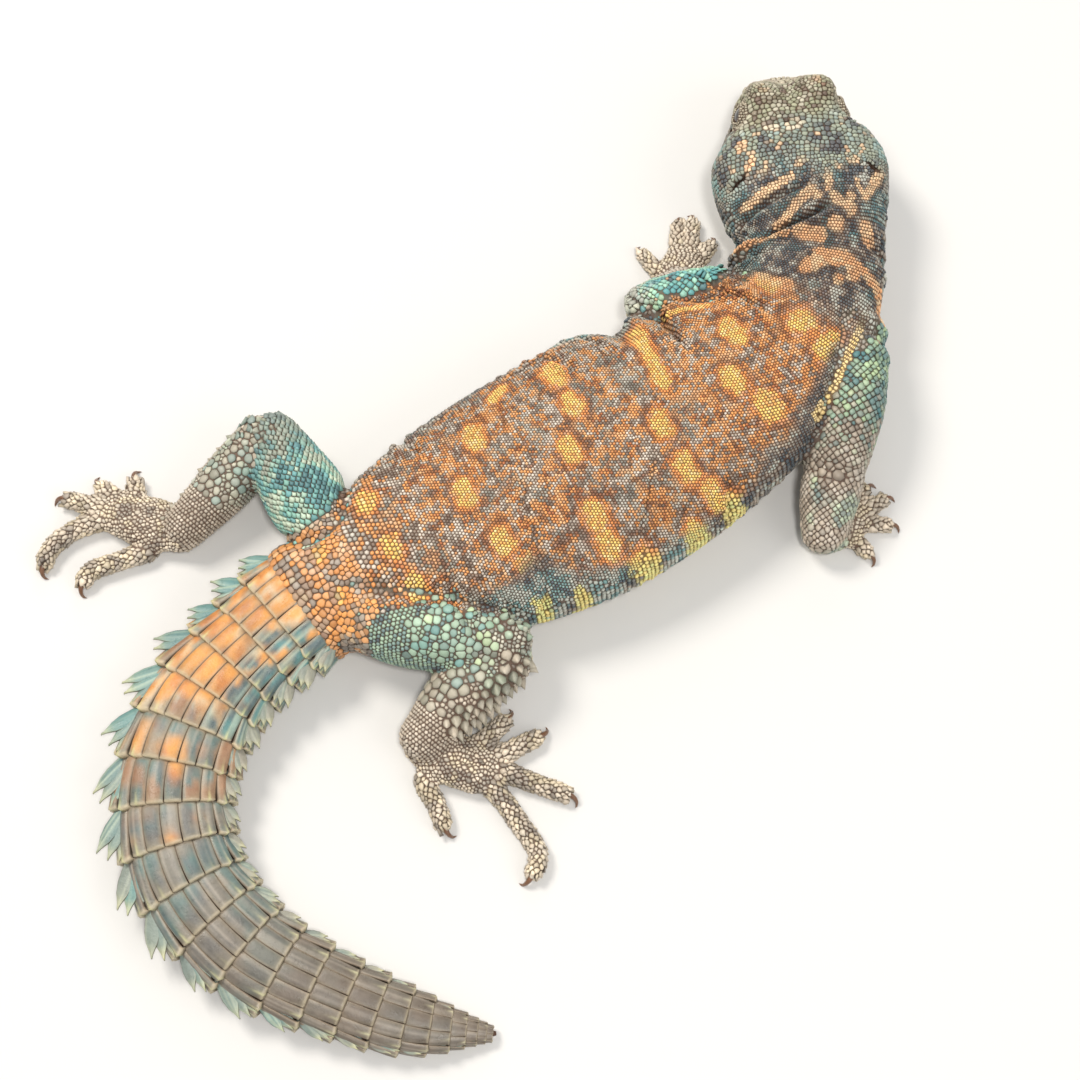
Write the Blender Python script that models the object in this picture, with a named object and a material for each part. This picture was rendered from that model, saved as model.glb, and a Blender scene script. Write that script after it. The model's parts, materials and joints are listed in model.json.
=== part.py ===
"""A life-size ornate uromastyx, a spiny-tailed desert lizard, lying on its belly.

The head points along +Y and droops a little, the trunk runs back towards -X and the
tail curls round in a hook. The lizard's own left is on the -X side of its head.
All sizes below are in millimetres. The origin is on the floor, in the middle of the
animal's outline.
"""

import math

import bmesh
import bpy
import numpy as np
from mathutils import Vector

# Driving dimensions, in millimetres
MM = 0.001
GAP = 0.3
OUTLINE_MIDDLE = (-13.155, 2.780)
EYE_RADIUS = 3.1
EYE_FROM_SNOUT = 12.5
EYE_ASIDE = 8.5
EYE_UP = 3.3
EAR_FROM_SNOUT = 29.5
EAR_ANGLE = math.radians(40)
EAR_HALF_HEIGHT = 2.6
EAR_DEPTH = 1.7
CLAW_BASE = 0.95
WHORLS = 22
SPINE_REACH = 4.3
FLOOR_CUT = 30.0

# How finely each shape is divided
BODY_SIDES = 24
TAIL_SIDES = 20
LIMB_SIDES = 12
DIGIT_SIDES = 6

# Stations down the middle of the body: x, y, z, half width, height above, depth below
HEAD_STATIONS = {
    "snout": (49.6, 101.3, 7.4, 5.4, 3.4, 3.0),
    "nostril": (49.8, 99.4, 8.0, 8.2, 5.0, 4.4),
    "lore": (50.3, 96.1, 8.9, 10.5, 7.0, 5.8),
    "eye": (51.0, 91.6, 9.9, 11.9, 8.5, 7.1),
    "temple": (51.5, 86.2, 11.1, 14.2, 8.9, 8.1),
    "cheek": (52.2, 80.2, 12.2, 16.9, 9.2, 8.9),
    "jowl": (52.6, 74.4, 12.9, 17.7, 9.6, 9.2),
    "nape": (53.4, 68.6, 13.2, 16.9, 9.3, 9.2),
}
TRUNK_STATIONS = {
    "neck": (54.3, 61.6, 13.1, 14.7, 8.9, 9.6),
    "neck_base": (53.4, 53.4, 12.7, 14.9, 9.3, 11.0),
    "shoulder": (49.8, 44.0, 12.1, 16.4, 10.2, 12.6),
    "chest": (39.4, 32.4, 11.5, 19.8, 11.2, 12.8),
    "ribs": (21.8, 20.8, 10.9, 23.9, 12.2, 12.4),
    "belly": (3.2, 10.2, 10.6, 24.9, 12.4, 12.2),
    "loin": (-16.5, 0.6, 9.9, 21.6, 11.4, 11.4),
    "hip": (-33.4, -7.2, 8.6, 15.9, 9.8, 9.9),
    "vent": (-45.0, -13.4, 7.3, 12.6, 7.4, 8.1),
}
TAIL_STATIONS = {
    "root": (-52.7, -19.8, 6.3, 11.4, 6.2, 6.9),
    "fan": (-63.6, -32.8, 5.6, 11.5, 5.7, 6.1),
    "bend": (-68.0, -48.6, 5.1, 10.9, 5.3, 5.5),
    "turn": (-64.2, -65.1, 4.7, 10.2, 5.0, 5.1),
    "curl": (-53.2, -77.6, 4.4, 9.3, 4.7, 4.8),
    "taper": (-37.6, -85.8, 3.9, 7.6, 4.2, 4.2),
    "slim": (-22.4, -90.9, 3.0, 5.7, 3.2, 3.2),
    "tip": (-8.6, -92.6, 1.5, 1.4, 1.1, 1.1),
}
STATIONS = {**HEAD_STATIONS, **TRUNK_STATIONS, **TAIL_STATIONS}

# Swellings and hollows of the head: mm from the snout, degrees round from the side,
# height in mm, spread along in mm, spread round in degrees
HEAD_SWELLINGS = {
    "brow": (8.6, 60, 2.6, 4.3, 19),
    "forehead_trough": (8.0, 90, -1.5, 6.0, 14),
    "eye_hollow": (12.8, 20, -0.8, 3.4, 15),
    "nostril_swell": (2.6, 48, 0.45, 1.5, 24),
    "jaw_muscle": (25.0, 28, 0.9, 5.5, 26),
    "nape_hollow": (33.5, 90, -0.5, 4.0, 50),
}

# Limbs: ends of each length as x, y, z and the radius there
ARMS = {
    "left": {
        "upper": ((41.0, 48.6, 12.4, 6.6), (29.8, 49.2, 12.2, 6.0), (20.4, 47.8, 10.4, 5.0)),
        "lower": ((20.6, 48.0, 9.6, 4.9), (25.0, 52.2, 7.2, 4.7), (28.7, 56.6, 4.6, 3.4)),
    },
    "right": {
        "upper": ((60.6, 41.5, 12.2, 8.0), (60.2, 27.0, 12.0, 7.1), (57.6, 16.2, 10.6, 6.3)),
        "lower": ((57.6, 15.8, 9.8, 6.0), (56.0, 8.4, 7.6, 5.8), (54.9, 2.2, 4.9, 4.4)),
    },
}
LEGS = {
    "left": {
        "upper": ((-40.0, 1.0, 8.6, 8.2), (-46.6, 10.6, 10.0, 7.7), (-52.2, 19.8, 10.8, 5.7)),
        "lower": ((-53.8, 20.2, 9.8, 5.3), (-60.4, 12.6, 7.4, 5.7), (-69.0, 3.6, 4.9, 4.4)),
    },
    "right": {
        "upper": ((-34.0, -14.6, 8.8, 8.8), (-20.4, -18.6, 10.6, 8.2), (-6.4, -21.0, 10.8, 6.2)),
        "lower": ((-6.4, -23.8, 9.2, 5.7), (-14.4, -30.0, 7.4, 6.3), (-22.2, -38.6, 4.9, 4.7)),
    },
}

# Hands and feet: the palm's two ends and half width, and each digit's bends, first to fifth
PAWS = {
    "hand_left": {
        "palm": ((28.8, 56.4, 3.0), (29.0, 63.2, 2.2), 4.4),
        "digits": (
            ((32.0, 58.8), (36.8, 59.6)),
            ((31.6, 62.0), (35.2, 66.9)),
            ((30.3, 63.4), (31.6, 72.1)),
            ((28.2, 63.6), (28.4, 71.6)),
            ((25.4, 60.2), (21.0, 64.8)),
        ),
        "radius": 1.5,
    },
    "hand_right": {
        "palm": ((55.0, 2.4, 3.0), (61.2, 6.4, 2.2), 4.4),
        "digits": (
            ((58.2, 8.0), (59.0, 13.0)),
            ((60.6, 8.6), (64.2, 13.0)),
            ((62.4, 7.4), (67.6, 10.8)),
            ((62.6, 5.4), (68.4, 5.6)),
            ((60.6, 3.0), (64.2, -0.4)),
        ),
        "radius": 1.5,
    },
    "foot_left": {
        "palm": ((-69.2, 3.4, 3.2), (-82.0, 7.4, 2.3), 5.2),
        "digits": (
            ((-78.6, 9.4), (-80.0, 14.6)),
            ((-81.6, 9.6), (-86.4, 13.4)),
            ((-84.0, 8.2), (-93.0, 10.8)),
            ((-84.2, 6.2), (-91.2, 4.2), (-96.0, -0.6), (-96.6, -2.6)),
            ((-75.4, 1.4), (-82.2, -2.2), (-88.0, -5.0), (-88.6, -6.4)),
        ),
        "radius": 1.75,
    },
    "foot_right": {
        "palm": ((-22.2, -39.0, 3.2), (-11.6, -44.4, 2.3), 5.0),
        "digits": (
            ((-12.8, -39.6), (-6.6, -34.2)),
            ((-10.2, -41.6), (-0.4, -37.4)),
            ((-8.4, -43.6), (-0.8, -46.4), (5.0, -48.4)),
            ((-10.4, -46.0), (-4.4, -53.2), (-0.4, -61.6), (-1.4, -63.6)),
            ((-21.6, -45.0), (-19.4, -50.4), (-17.9, -54.4)),
        ),
        "radius": 1.75,
    },
}
DIGIT_NAMES = ("first", "second", "third", "fourth", "fifth")

# Plain finishes: colour, roughness
FINISHES = {
    "head_skin": ((0.33, 0.34, 0.30), 0.7),
    "back_skin": ((0.62, 0.36, 0.16), 0.7),
    "limb_skin": ((0.36, 0.45, 0.42), 0.7),
    "paw_skin": ((0.55, 0.50, 0.44), 0.75),
    "tail_scale": ((0.42, 0.40, 0.33), 0.5),
    "eye": ((0.03, 0.02, 0.015), 0.08),
    "eardrum": ((0.10, 0.08, 0.05), 0.6),
    "claw": ((0.12, 0.07, 0.04), 0.35),
}


def material(name):
    """The named finish as a Principled BSDF."""
    found = bpy.data.materials.get(name)
    if found:
        return found
    colour, roughness = FINISHES[name]
    made = bpy.data.materials.new(name)
    made.use_nodes = True
    shader = made.node_tree.nodes["Principled BSDF"]
    shader.inputs["Base Color"].default_value = (*colour, 1.0)
    shader.inputs["Roughness"].default_value = roughness
    shader.inputs["Metallic"].default_value = 0.0
    return made


def smooth_rows(table, places):
    """Rows of a table read at fractional row numbers, on a smooth curve through them."""
    rows = np.array(list(table), float)
    step = np.linalg.norm(np.diff(rows[:, :3], axis=0), axis=1)
    knots = np.concatenate([[0.0], np.cumsum(step)])
    slopes = np.gradient(rows, knots, axis=0)
    at = np.interp(places, np.arange(len(rows)), knots)
    left = np.clip(np.searchsorted(knots, at, side="right") - 1, 0, len(rows) - 2)
    width = (knots[left + 1] - knots[left])[:, None]
    t = ((at - knots[left])[:, None]) / width
    return (
        rows[left] * (2 * t**3 - 3 * t**2 + 1)
        + slopes[left] * width * (t**3 - 2 * t**2 + t)
        + rows[left + 1] * (3 * t**2 - 2 * t**3)
        + slopes[left + 1] * width * (t**3 - t**2)
    )


def frames_along(centres):
    """Unit tangent, sideways and upward directions at each centre, sideways kept level."""
    tangent = np.gradient(centres, axis=0)
    tangent /= np.linalg.norm(tangent, axis=1)[:, None]
    side = np.cross(tangent, (0.0, 0.0, 1.0))
    side /= np.linalg.norm(side, axis=1)[:, None]
    return tangent, side, np.cross(side, tangent)


def oval(angles, width, above, below, squareness=2.2):
    """Points of an oval with its own height above and depth below the middle."""
    power = 2.0 / squareness
    across = np.sign(np.cos(angles)) * np.abs(np.cos(angles)) ** power
    upward = np.sign(np.sin(angles)) * np.abs(np.sin(angles)) ** power
    return width * across, np.where(upward > 0, above, below) * upward


def swelling(from_snout, angles):
    """How far the head's surface stands out, in mm, mirrored left to right."""
    folded = np.degrees(np.arccos(np.abs(np.cos(angles)))) * np.sign(np.sin(angles))
    total = np.zeros_like(angles)
    for along, round_at, height, spread, spread_round in HEAD_SWELLINGS.values():
        total += height * np.exp(
            -(((from_snout - along) / spread) ** 2) - ((folded - round_at) / spread_round) ** 2
        )
    return total


def spine_table():
    """The body's middle line read finely, with its directions and its distance from the snout."""
    rows = smooth_rows(STATIONS.values(), np.linspace(0, len(STATIONS) - 1, 4000))
    step = np.linalg.norm(np.diff(rows[:, :3], axis=0), axis=1)
    return rows, frames_along(rows[:, :3]), np.concatenate([[0.0], np.cumsum(step)])


SPINE_ROWS, SPINE_AXES, SPINE_RUN = spine_table()


def run_to(name):
    """Distance from the snout to a named station."""
    share = list(STATIONS).index(name) / (len(STATIONS) - 1)
    return SPINE_RUN[round(share * (len(SPINE_RUN) - 1))]


def spine_at(run):
    """The station row and the backward, side and up directions at a distance from the snout."""
    row = np.array([np.interp(run, SPINE_RUN, column) for column in SPINE_ROWS.T])
    index = int(np.clip(np.searchsorted(SPINE_RUN, run), 0, len(SPINE_RUN) - 1))
    tangent, side, up = (axis[index] for axis in SPINE_AXES)
    return row, tangent, side, up


def body_rings(first, last, count, sides, grow=0.0, trim=0.0):
    """Rings round the body between two named stations, with trim mm taken off each end."""
    angles = np.linspace(0, 2 * math.pi, sides, endpoint=False)
    rings = []
    for run in np.linspace(run_to(first) + trim, run_to(last) - trim, count):
        row, _, side, up = spine_at(run)
        x, z = oval(angles, row[3] + grow, row[4] + grow, row[5] + grow)
        scale = 1.0 + swelling(np.full(sides, run), angles) / np.hypot(x, z)
        rings.append(row[:3] + np.outer(x * scale, side) + np.outer(z * scale, up))
    return rings


def loft(name, rings, finish, blunt=()):
    """A closed object skinned over rings of equal size. A blunt end gets a low dome."""
    bm = bmesh.new()
    for at, sign in ((0, -1), (-1, 1)):
        if at in blunt:
            middle = rings[at].mean(0)
            outward = middle - rings[1 if at == 0 else -2].mean(0)
            outward /= np.linalg.norm(outward)
            reach = np.linalg.norm(rings[at] - middle, axis=1).mean()
            domed = middle + (rings[at] - middle) * 0.62 + outward * reach * 0.42
            rings = [domed, *rings] if at == 0 else [*rings, domed]
    made = [[bm.verts.new(Vector(p)) for p in ring] for ring in rings]
    count = len(made[0])
    for here, there in zip(made, made[1:]):
        for i in range(count):
            j = (i + 1) % count
            bm.faces.new((here[i], here[j], there[j], there[i]))
    bm.faces.new(made[0])
    bm.faces.new(made[-1])
    bmesh.ops.recalc_face_normals(bm, faces=bm.faces)
    return finish_object(name, bm, finish)


def finish_object(name, bm, finish):
    """Turns a mesh in mm about the animal's middle into a named object in metres."""
    for vertex in bm.verts:
        vertex.co.x -= OUTLINE_MIDDLE[0]
        vertex.co.y -= OUTLINE_MIDDLE[1]
        vertex.co *= MM
    mesh = bpy.data.meshes.new(name)
    bm.to_mesh(mesh)
    bm.free()
    mesh.shade_smooth()
    obj = bpy.data.objects.new(name, mesh)
    obj.data.materials.append(material(finish))
    bpy.context.scene.collection.objects.link(obj)
    return obj


def as_cutter(obj):
    """Hides an object that only shapes others."""
    obj.hide_render = True
    obj.display_type = "WIRE"
    return obj


def combine(obj, other, operation):
    """Adds a live exact Boolean."""
    modifier = obj.modifiers.new(f"{operation.lower()} {other.name}", "BOOLEAN")
    modifier.operation = operation
    modifier.solver = "EXACT"
    modifier.object = other


def cut_from(obj, *cutters):
    for cutter in cutters:
        combine(obj, cutter, "DIFFERENCE")
    return obj


def ellipsoid(name, centre, axes, half_sizes, finish, segments=12, rings=7):
    """A closed ellipsoid turned to three axes."""
    bm = bmesh.new()
    bmesh.ops.create_uvsphere(bm, u_segments=segments, v_segments=rings, radius=1.0)
    for vertex in bm.verts:
        turned = sum((Vector(a) * c * h for a, c, h in zip(axes, vertex.co, half_sizes)), Vector())
        vertex.co = Vector(centre) + turned
    bm.normal_update()
    bmesh.ops.recalc_face_normals(bm, faces=bm.faces)
    return finish_object(name, bm, finish)


def limb_rings(points, sides, count, grow=0.0, flatten=1.0):
    """Round rings along a limb's bends. A low flatten squashes them."""
    rows = smooth_rows(points, np.linspace(0, len(points) - 1, count))
    _, side, up = frames_along(rows[:, :3])
    angles = np.linspace(0, 2 * math.pi, sides, endpoint=False)
    rings = []
    for row, s, u in zip(rows, side, up):
        radius = row[3] + grow
        x, z = radius * np.cos(angles), radius * flatten * np.sin(angles)
        rings.append(row[:3] + np.outer(x, s) + np.outer(z, u))
    return rings


def floor_cutter():
    """Everything under the floor, which makes the flats that the animal rests on."""
    bm = bmesh.new()
    bmesh.ops.create_cube(bm, size=1.0)
    for vertex in bm.verts:
        vertex.co.x = vertex.co.x * 300 + OUTLINE_MIDDLE[0]
        vertex.co.y = vertex.co.y * 300 + OUTLINE_MIDDLE[1]
        vertex.co.z = (vertex.co.z - 0.5) * FLOOR_CUT
    return as_cutter(finish_object("floor_cutter", bm, "claw"))


def eye(name, sign, grow=0.0, finish="eye"):
    """An eyeball on one side: sign is +1 for the lizard's left."""
    row, back, side, up = spine_at(EYE_FROM_SNOUT)
    centre = row[:3] + side * sign * EYE_ASIDE + up * EYE_UP
    radius = EYE_RADIUS + grow
    return ellipsoid(name, centre, (back, side, up), (radius,) * 3, finish)


def ear(name, sign, half_sizes, depth, finish="eardrum"):
    """A flat ellipsoid on the ear's place, set depth mm under the skin."""
    row, back, side, up = spine_at(EAR_FROM_SNOUT)
    angle = EAR_ANGLE if sign > 0 else math.pi - EAR_ANGLE
    x, z = oval(np.array([angle]), row[3], row[4], row[5])
    outward = side * x[0] / row[3] + up * z[0] / row[4]
    outward /= np.linalg.norm(outward)
    centre = row[:3] + side * x[0] + up * z[0] - outward * depth
    tall = np.cross(back, outward)
    return ellipsoid(name, centre, (back, outward, tall), half_sizes, finish, 10, 6)


def build_head(floor):
    head = loft("head", body_rings("snout", "nape", 18, BODY_SIDES, trim=GAP / 2), "head_skin", (0,))
    for side_name, sign in (("left", 1), ("right", -1)):
        socket = as_cutter(eye(f"socket_cutter_{side_name}", sign, GAP))
        eye(f"eye_{side_name}", sign)
        slit = (1.7, EAR_DEPTH, EAR_HALF_HEIGHT)
        drum = (1.1, 0.4, EAR_HALF_HEIGHT - 0.8)
        recess = as_cutter(ear(f"ear_cutter_{side_name}", sign, slit, 0.0))
        ear(f"eardrum_{side_name}", sign, drum, EAR_DEPTH - 1.0)
        cut_from(head, socket, recess)
    return cut_from(head, floor)


def build_trunk(floor):
    neck = loft("neck", body_rings("nape", "neck_base", 6, BODY_SIDES, trim=GAP / 2), "back_skin")
    trunk = loft("trunk", body_rings("neck_base", "vent", 20, BODY_SIDES, trim=GAP / 2), "back_skin")
    cut_from(neck, floor)
    cut_from(trunk, floor)


def whorl_edges():
    """Where each whorl of the tail ends, as a share of the tail's length. They shorten to the tip."""
    numbers = np.arange(1, WHORLS + 1) / WHORLS
    pitch = 0.82 + 0.55 * np.sin(math.pi * np.clip(numbers * 1.12, 0, 1)) - 0.62 * numbers**3
    return np.concatenate([[0.0], np.cumsum(pitch) / pitch.sum()])


def spine_lengths(share):
    """How far the side spines reach at a share of the tail's length."""
    return SPINE_REACH * np.clip(1.02 - share**2.6, 0.12, 1.0) * np.clip(0.55 + share * 6, 0, 1)


def tail_rings():
    """Saw-toothed rings: each whorl flares to a jagged rear edge and steps down to the next."""
    begins, whole = run_to("vent"), run_to("tip") - run_to("vent")
    edges = whorl_edges()
    angles = np.linspace(0, 2 * math.pi, TAIL_SIDES, endpoint=False)
    spiny = {0: 1.0, 2: 0.62, 18: 0.62, 10: 1.0, 8: 0.62, 12: 0.62}
    spine = np.array([spiny.get(i, 0.0) for i in range(TAIL_SIDES)])
    rings = []
    for begin, end in zip(edges, edges[1:]):
        for share, flare, reach in ((begin, 0.90, 0.0), (end, 1.0, spine_lengths(end))):
            row, tangent, side, up = spine_at(begins + whole * share + GAP / 2 * (share == 0))
            x, z = oval(angles, row[3] * flare, row[4] * flare, row[5] * flare)
            x = x + spine * reach * np.sign(x)
            back = spine * reach * 0.75
            z = np.where(z < 0, np.maximum(z, -row[2]), z)
            rings.append(row[:3] + np.outer(x, side) + np.outer(z, up) + np.outer(back, tangent))
    return rings


def build_tail(floor):
    rings = tail_rings()
    lengths = {"tail_root": (0, 7), "tail_middle": (7, 14), "tail_end": (14, WHORLS)}
    for name, (begin, end) in lengths.items():
        piece = [ring.copy() for ring in rings[2 * begin : 2 * end]]
        if begin:
            forward = piece[1].mean(0) - piece[0].mean(0)
            piece[0] += GAP * forward / np.linalg.norm(forward)
        cut_from(loft(name, piece, "tail_scale"), floor)


def body_cutter():
    """The whole body, grown by the gap, which trims the limbs where they meet it."""
    rings = body_rings("nape", "root", 44, BODY_SIDES, grow=GAP)
    return as_cutter(loft("body_cutter", rings, "claw"))


def build_limbs(floor, body):
    """Each limb's two lengths, cut back from the body and from each other."""
    trimmers = {}
    for limbs, upper_name, lower_name in ((ARMS, "upper_arm", "forearm"), (LEGS, "thigh", "shank")):
        for side_name, limb in limbs.items():
            upper = limb_rings(limb["upper"], LIMB_SIDES, 6)
            grown = limb_rings(limb["upper"], LIMB_SIDES, 6, grow=GAP)
            lower = limb_rings(limb["lower"], LIMB_SIDES, 6)
            trimmer = as_cutter(loft(f"{upper_name}_cutter_{side_name}", grown, "claw", (0, -1)))
            cut_from(loft(f"{upper_name}_{side_name}", upper, "limb_skin", (0, -1)), body, floor)
            made = loft(f"{lower_name}_{side_name}", lower, "limb_skin", (0, -1))
            cut_from(made, trimmer, body, floor)
            paw = ("hand_" if limbs is ARMS else "foot_") + side_name
            grown = limb_rings(limb["lower"], LIMB_SIDES, 6, grow=GAP)
            trimmers[paw] = as_cutter(loft(f"{paw}_cutter", grown, "claw", (0, -1)))
    return trimmers


def digit_rows(points, radius):
    """A digit's bends at a height where it lies on the floor, slimmer towards the claw."""
    last = len(points) - 1
    return [(x, y, radius * (1.05 - 0.15 * i / last), radius * (1.05 - 0.22 * i / last))
            for i, (x, y) in enumerate(points)]


def claw(name, tip, before, radius):
    """A curved claw that leaves the digit's flat end and hooks down to the floor."""
    tip, before = Vector(tip), Vector(before)
    forward = (tip - before).normalized()
    level = Vector((forward.x, forward.y, 0)).normalized()
    length = radius * 2.0
    rows = []
    for share in (0.0, 0.35, 0.7, 1.0):
        ahead = GAP + length * math.sin(share * 1.25)
        drop = (tip.z - 0.45) * share**1.8
        centre = tip + level * ahead - Vector((0, 0, drop))
        rows.append((*centre, CLAW_BASE * (1 - 0.72 * share)))
    return loft(name, limb_rings(rows, DIGIT_SIDES, 4), "claw")


def build_paws(floor, trimmers):
    """Hands and feet, each a palm joined to its five digits, with the claws apart."""
    for name, paw in PAWS.items():
        (x0, y0, z0), (x1, y1, z1), half = paw["palm"]
        palm_rows = (
            (x0, y0, z0, half * 0.82),
            ((x0 + x1) / 2, (y0 + y1) / 2, (z0 + z1) / 2 - 0.1, half),
            (x1, y1, z1 - 0.2, half * 0.86),
        )
        palm = loft(name, limb_rings(palm_rows, LIMB_SIDES, 5, flatten=0.58), "paw_skin", (0, -1))
        for number, points in zip(DIGIT_NAMES, paw["digits"]):
            rows = digit_rows(points, paw["radius"])
            count = 2 + 2 * (len(points) - 1)
            inner = np.array(rows[0])
            towards = np.array([(x0 + x1) / 2, (y0 + y1) / 2, inner[2], inner[3]])
            rows = [tuple(inner * 0.55 + towards * 0.45), *rows]
            digit = loft(f"{name}_{number}_cutter", limb_rings(rows, DIGIT_SIDES, count), "paw_skin")
            combine(palm, as_cutter(digit), "UNION")
            claw(f"claw_{name}_{number}", rows[-1][:3], rows[-2][:3], paw["radius"])
        cut_from(palm, trimmers[name], floor)


def main():
    for obj in list(bpy.data.objects):
        bpy.data.objects.remove(obj)
    floor = floor_cutter()
    build_head(floor)
    build_trunk(floor)
    build_tail(floor)
    trimmers = build_limbs(floor, body_cutter())
    build_paws(floor, trimmers)


main()
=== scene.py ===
"""The looks of a life-size ornate uromastyx: skin, scales, tail plates, eyes, claws and stage."""

import functools
import itertools
import math

import bmesh
import bpy
import numpy as np
from bpy.props import FloatProperty, FloatVectorProperty, PointerProperty
from mathutils import Matrix, Vector
from mathutils.bvhtree import BVHTree
from mathutils.kdtree import KDTree
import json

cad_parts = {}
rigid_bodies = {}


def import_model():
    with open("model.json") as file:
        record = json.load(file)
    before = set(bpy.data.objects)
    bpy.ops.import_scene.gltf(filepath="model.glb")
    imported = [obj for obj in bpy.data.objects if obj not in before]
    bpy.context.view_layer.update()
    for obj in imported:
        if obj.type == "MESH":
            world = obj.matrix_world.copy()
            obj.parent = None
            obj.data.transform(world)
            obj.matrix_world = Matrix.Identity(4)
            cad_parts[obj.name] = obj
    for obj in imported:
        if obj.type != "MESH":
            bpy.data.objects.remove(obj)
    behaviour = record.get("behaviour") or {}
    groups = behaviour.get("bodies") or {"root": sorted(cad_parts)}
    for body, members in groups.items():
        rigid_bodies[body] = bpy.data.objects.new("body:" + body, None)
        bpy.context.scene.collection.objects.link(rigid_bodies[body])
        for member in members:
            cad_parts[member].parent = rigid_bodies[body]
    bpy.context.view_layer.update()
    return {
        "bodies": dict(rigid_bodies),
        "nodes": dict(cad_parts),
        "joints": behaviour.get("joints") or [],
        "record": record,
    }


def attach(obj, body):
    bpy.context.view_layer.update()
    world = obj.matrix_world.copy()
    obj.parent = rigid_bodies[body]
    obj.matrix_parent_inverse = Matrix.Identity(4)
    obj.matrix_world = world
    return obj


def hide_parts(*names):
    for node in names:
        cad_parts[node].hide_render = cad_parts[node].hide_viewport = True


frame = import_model()

bl_info = {
    "name": "Ornate uromastyx",
    "version": (1, 0, 0),
    "blender": (4, 5, 0),
    "location": "View3D > Sidebar > Lizard",
    "description": "Builds the skin, scales, eyes and claws of a spiny-tailed lizard",
    "category": "Object",
}

# The animal's own measures, in millimetres, as in its solids
MM = 0.001
OUTLINE_MIDDLE = (-13.155, 2.780)
FLOOR_CLEARANCE = 0.06
PIECE_LIMIT = 190000
EYE_RADIUS = 3.1
EYE_FROM_SNOUT = 12.5
EYE_ASIDE = 8.5
EYE_UP = 3.3
EYE_OPENING = (2.05, 1.3)
LID_THICKNESS = 0.42
NOSTRIL = (2.3, 44)
NOSTRIL_RADIUS = 0.85
SNOUT_SHORTER = 1.3
SNOUT_LOWER = 0.9
MOUTH_END = 17.5
EAR_FROM_SNOUT = 29.5
EAR_ANGLE = 42
EAR_HALF_SIZE = (0.75, 2.2)
WHORLS = 22
SPINE_REACH = 4.3
TAIL_START = 170.98
RUMP_START = 157.0
SIDE_PLATE_CROWDING = 1.3
NEIGHBOURS = 17
BODY_THICKNESS = 11.0
LIMB_SEAM_DEPTH = 1.0
BAKE_PATCH = 0.003
BARE_SPACING = 0.95
# Stations down the middle of the body: x, y, z, half width, height above, depth below
STATIONS = {
    "snout": (49.6, 101.3, 7.4, 5.4, 3.4, 3.0),
    "nostril": (49.8, 99.4, 8.0, 8.2, 5.0, 4.4),
    "lore": (50.3, 96.1, 8.9, 10.5, 7.0, 5.8),
    "eye": (51.0, 91.6, 9.9, 11.9, 8.5, 7.1),
    "temple": (51.5, 86.2, 11.1, 14.2, 8.9, 8.1),
    "cheek": (52.2, 80.2, 12.2, 16.9, 9.2, 8.9),
    "jowl": (52.6, 74.4, 12.9, 17.7, 9.6, 9.2),
    "nape": (53.4, 68.6, 13.2, 16.9, 9.3, 9.2),
    "neck": (54.3, 61.6, 13.1, 14.7, 8.9, 9.6),
    "neck_base": (53.4, 53.4, 12.7, 14.9, 9.3, 11.0),
    "shoulder": (49.8, 44.0, 12.1, 16.4, 10.2, 12.6),
    "chest": (39.4, 32.4, 11.5, 19.8, 11.2, 12.8),
    "ribs": (21.8, 20.8, 10.9, 23.9, 12.2, 12.4),
    "belly": (3.2, 10.2, 10.6, 24.9, 12.4, 12.2),
    "loin": (-16.5, 0.6, 9.9, 21.6, 11.4, 11.4),
    "hip": (-33.4, -7.2, 8.6, 15.9, 9.8, 9.9),
    "vent": (-45.0, -13.4, 7.3, 12.6, 7.4, 8.1),
    "root": (-52.7, -19.8, 6.3, 11.4, 6.2, 6.9),
    "fan": (-63.6, -32.8, 5.6, 11.5, 5.7, 6.1),
    "bend": (-68.0, -48.6, 5.1, 10.9, 5.3, 5.5),
    "turn": (-64.2, -65.1, 4.7, 10.2, 5.0, 5.1),
    "curl": (-53.2, -77.6, 4.4, 9.3, 4.7, 4.8),
    "taper": (-37.6, -85.8, 3.9, 7.6, 4.2, 4.2),
    "slim": (-22.4, -90.9, 3.0, 5.7, 3.2, 3.2),
    "tip": (-8.6, -92.6, 1.5, 1.4, 1.1, 1.1),
}

# Swellings and hollows of the head: mm from the snout, degrees round from the side,
# height in mm, spread along in mm, spread round in degrees
SWELLINGS = {
    "brow": (8.6, 60, 2.6, 4.3, 19),
    "forehead_trough": (8.0, 90, -1.5, 6.0, 14),
    "snout_trough": (3.2, 90, -0.8, 2.2, 16),
    "eye_hollow": (12.8, 20, -0.8, 3.4, 15),
    "nostril_swell": (2.6, 48, 0.5, 1.5, 22),
    "jaw_muscle": (25.0, 28, 0.9, 5.5, 26),
    "nape_hollow": (33.5, 90, -0.5, 4.0, 50),
}

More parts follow.
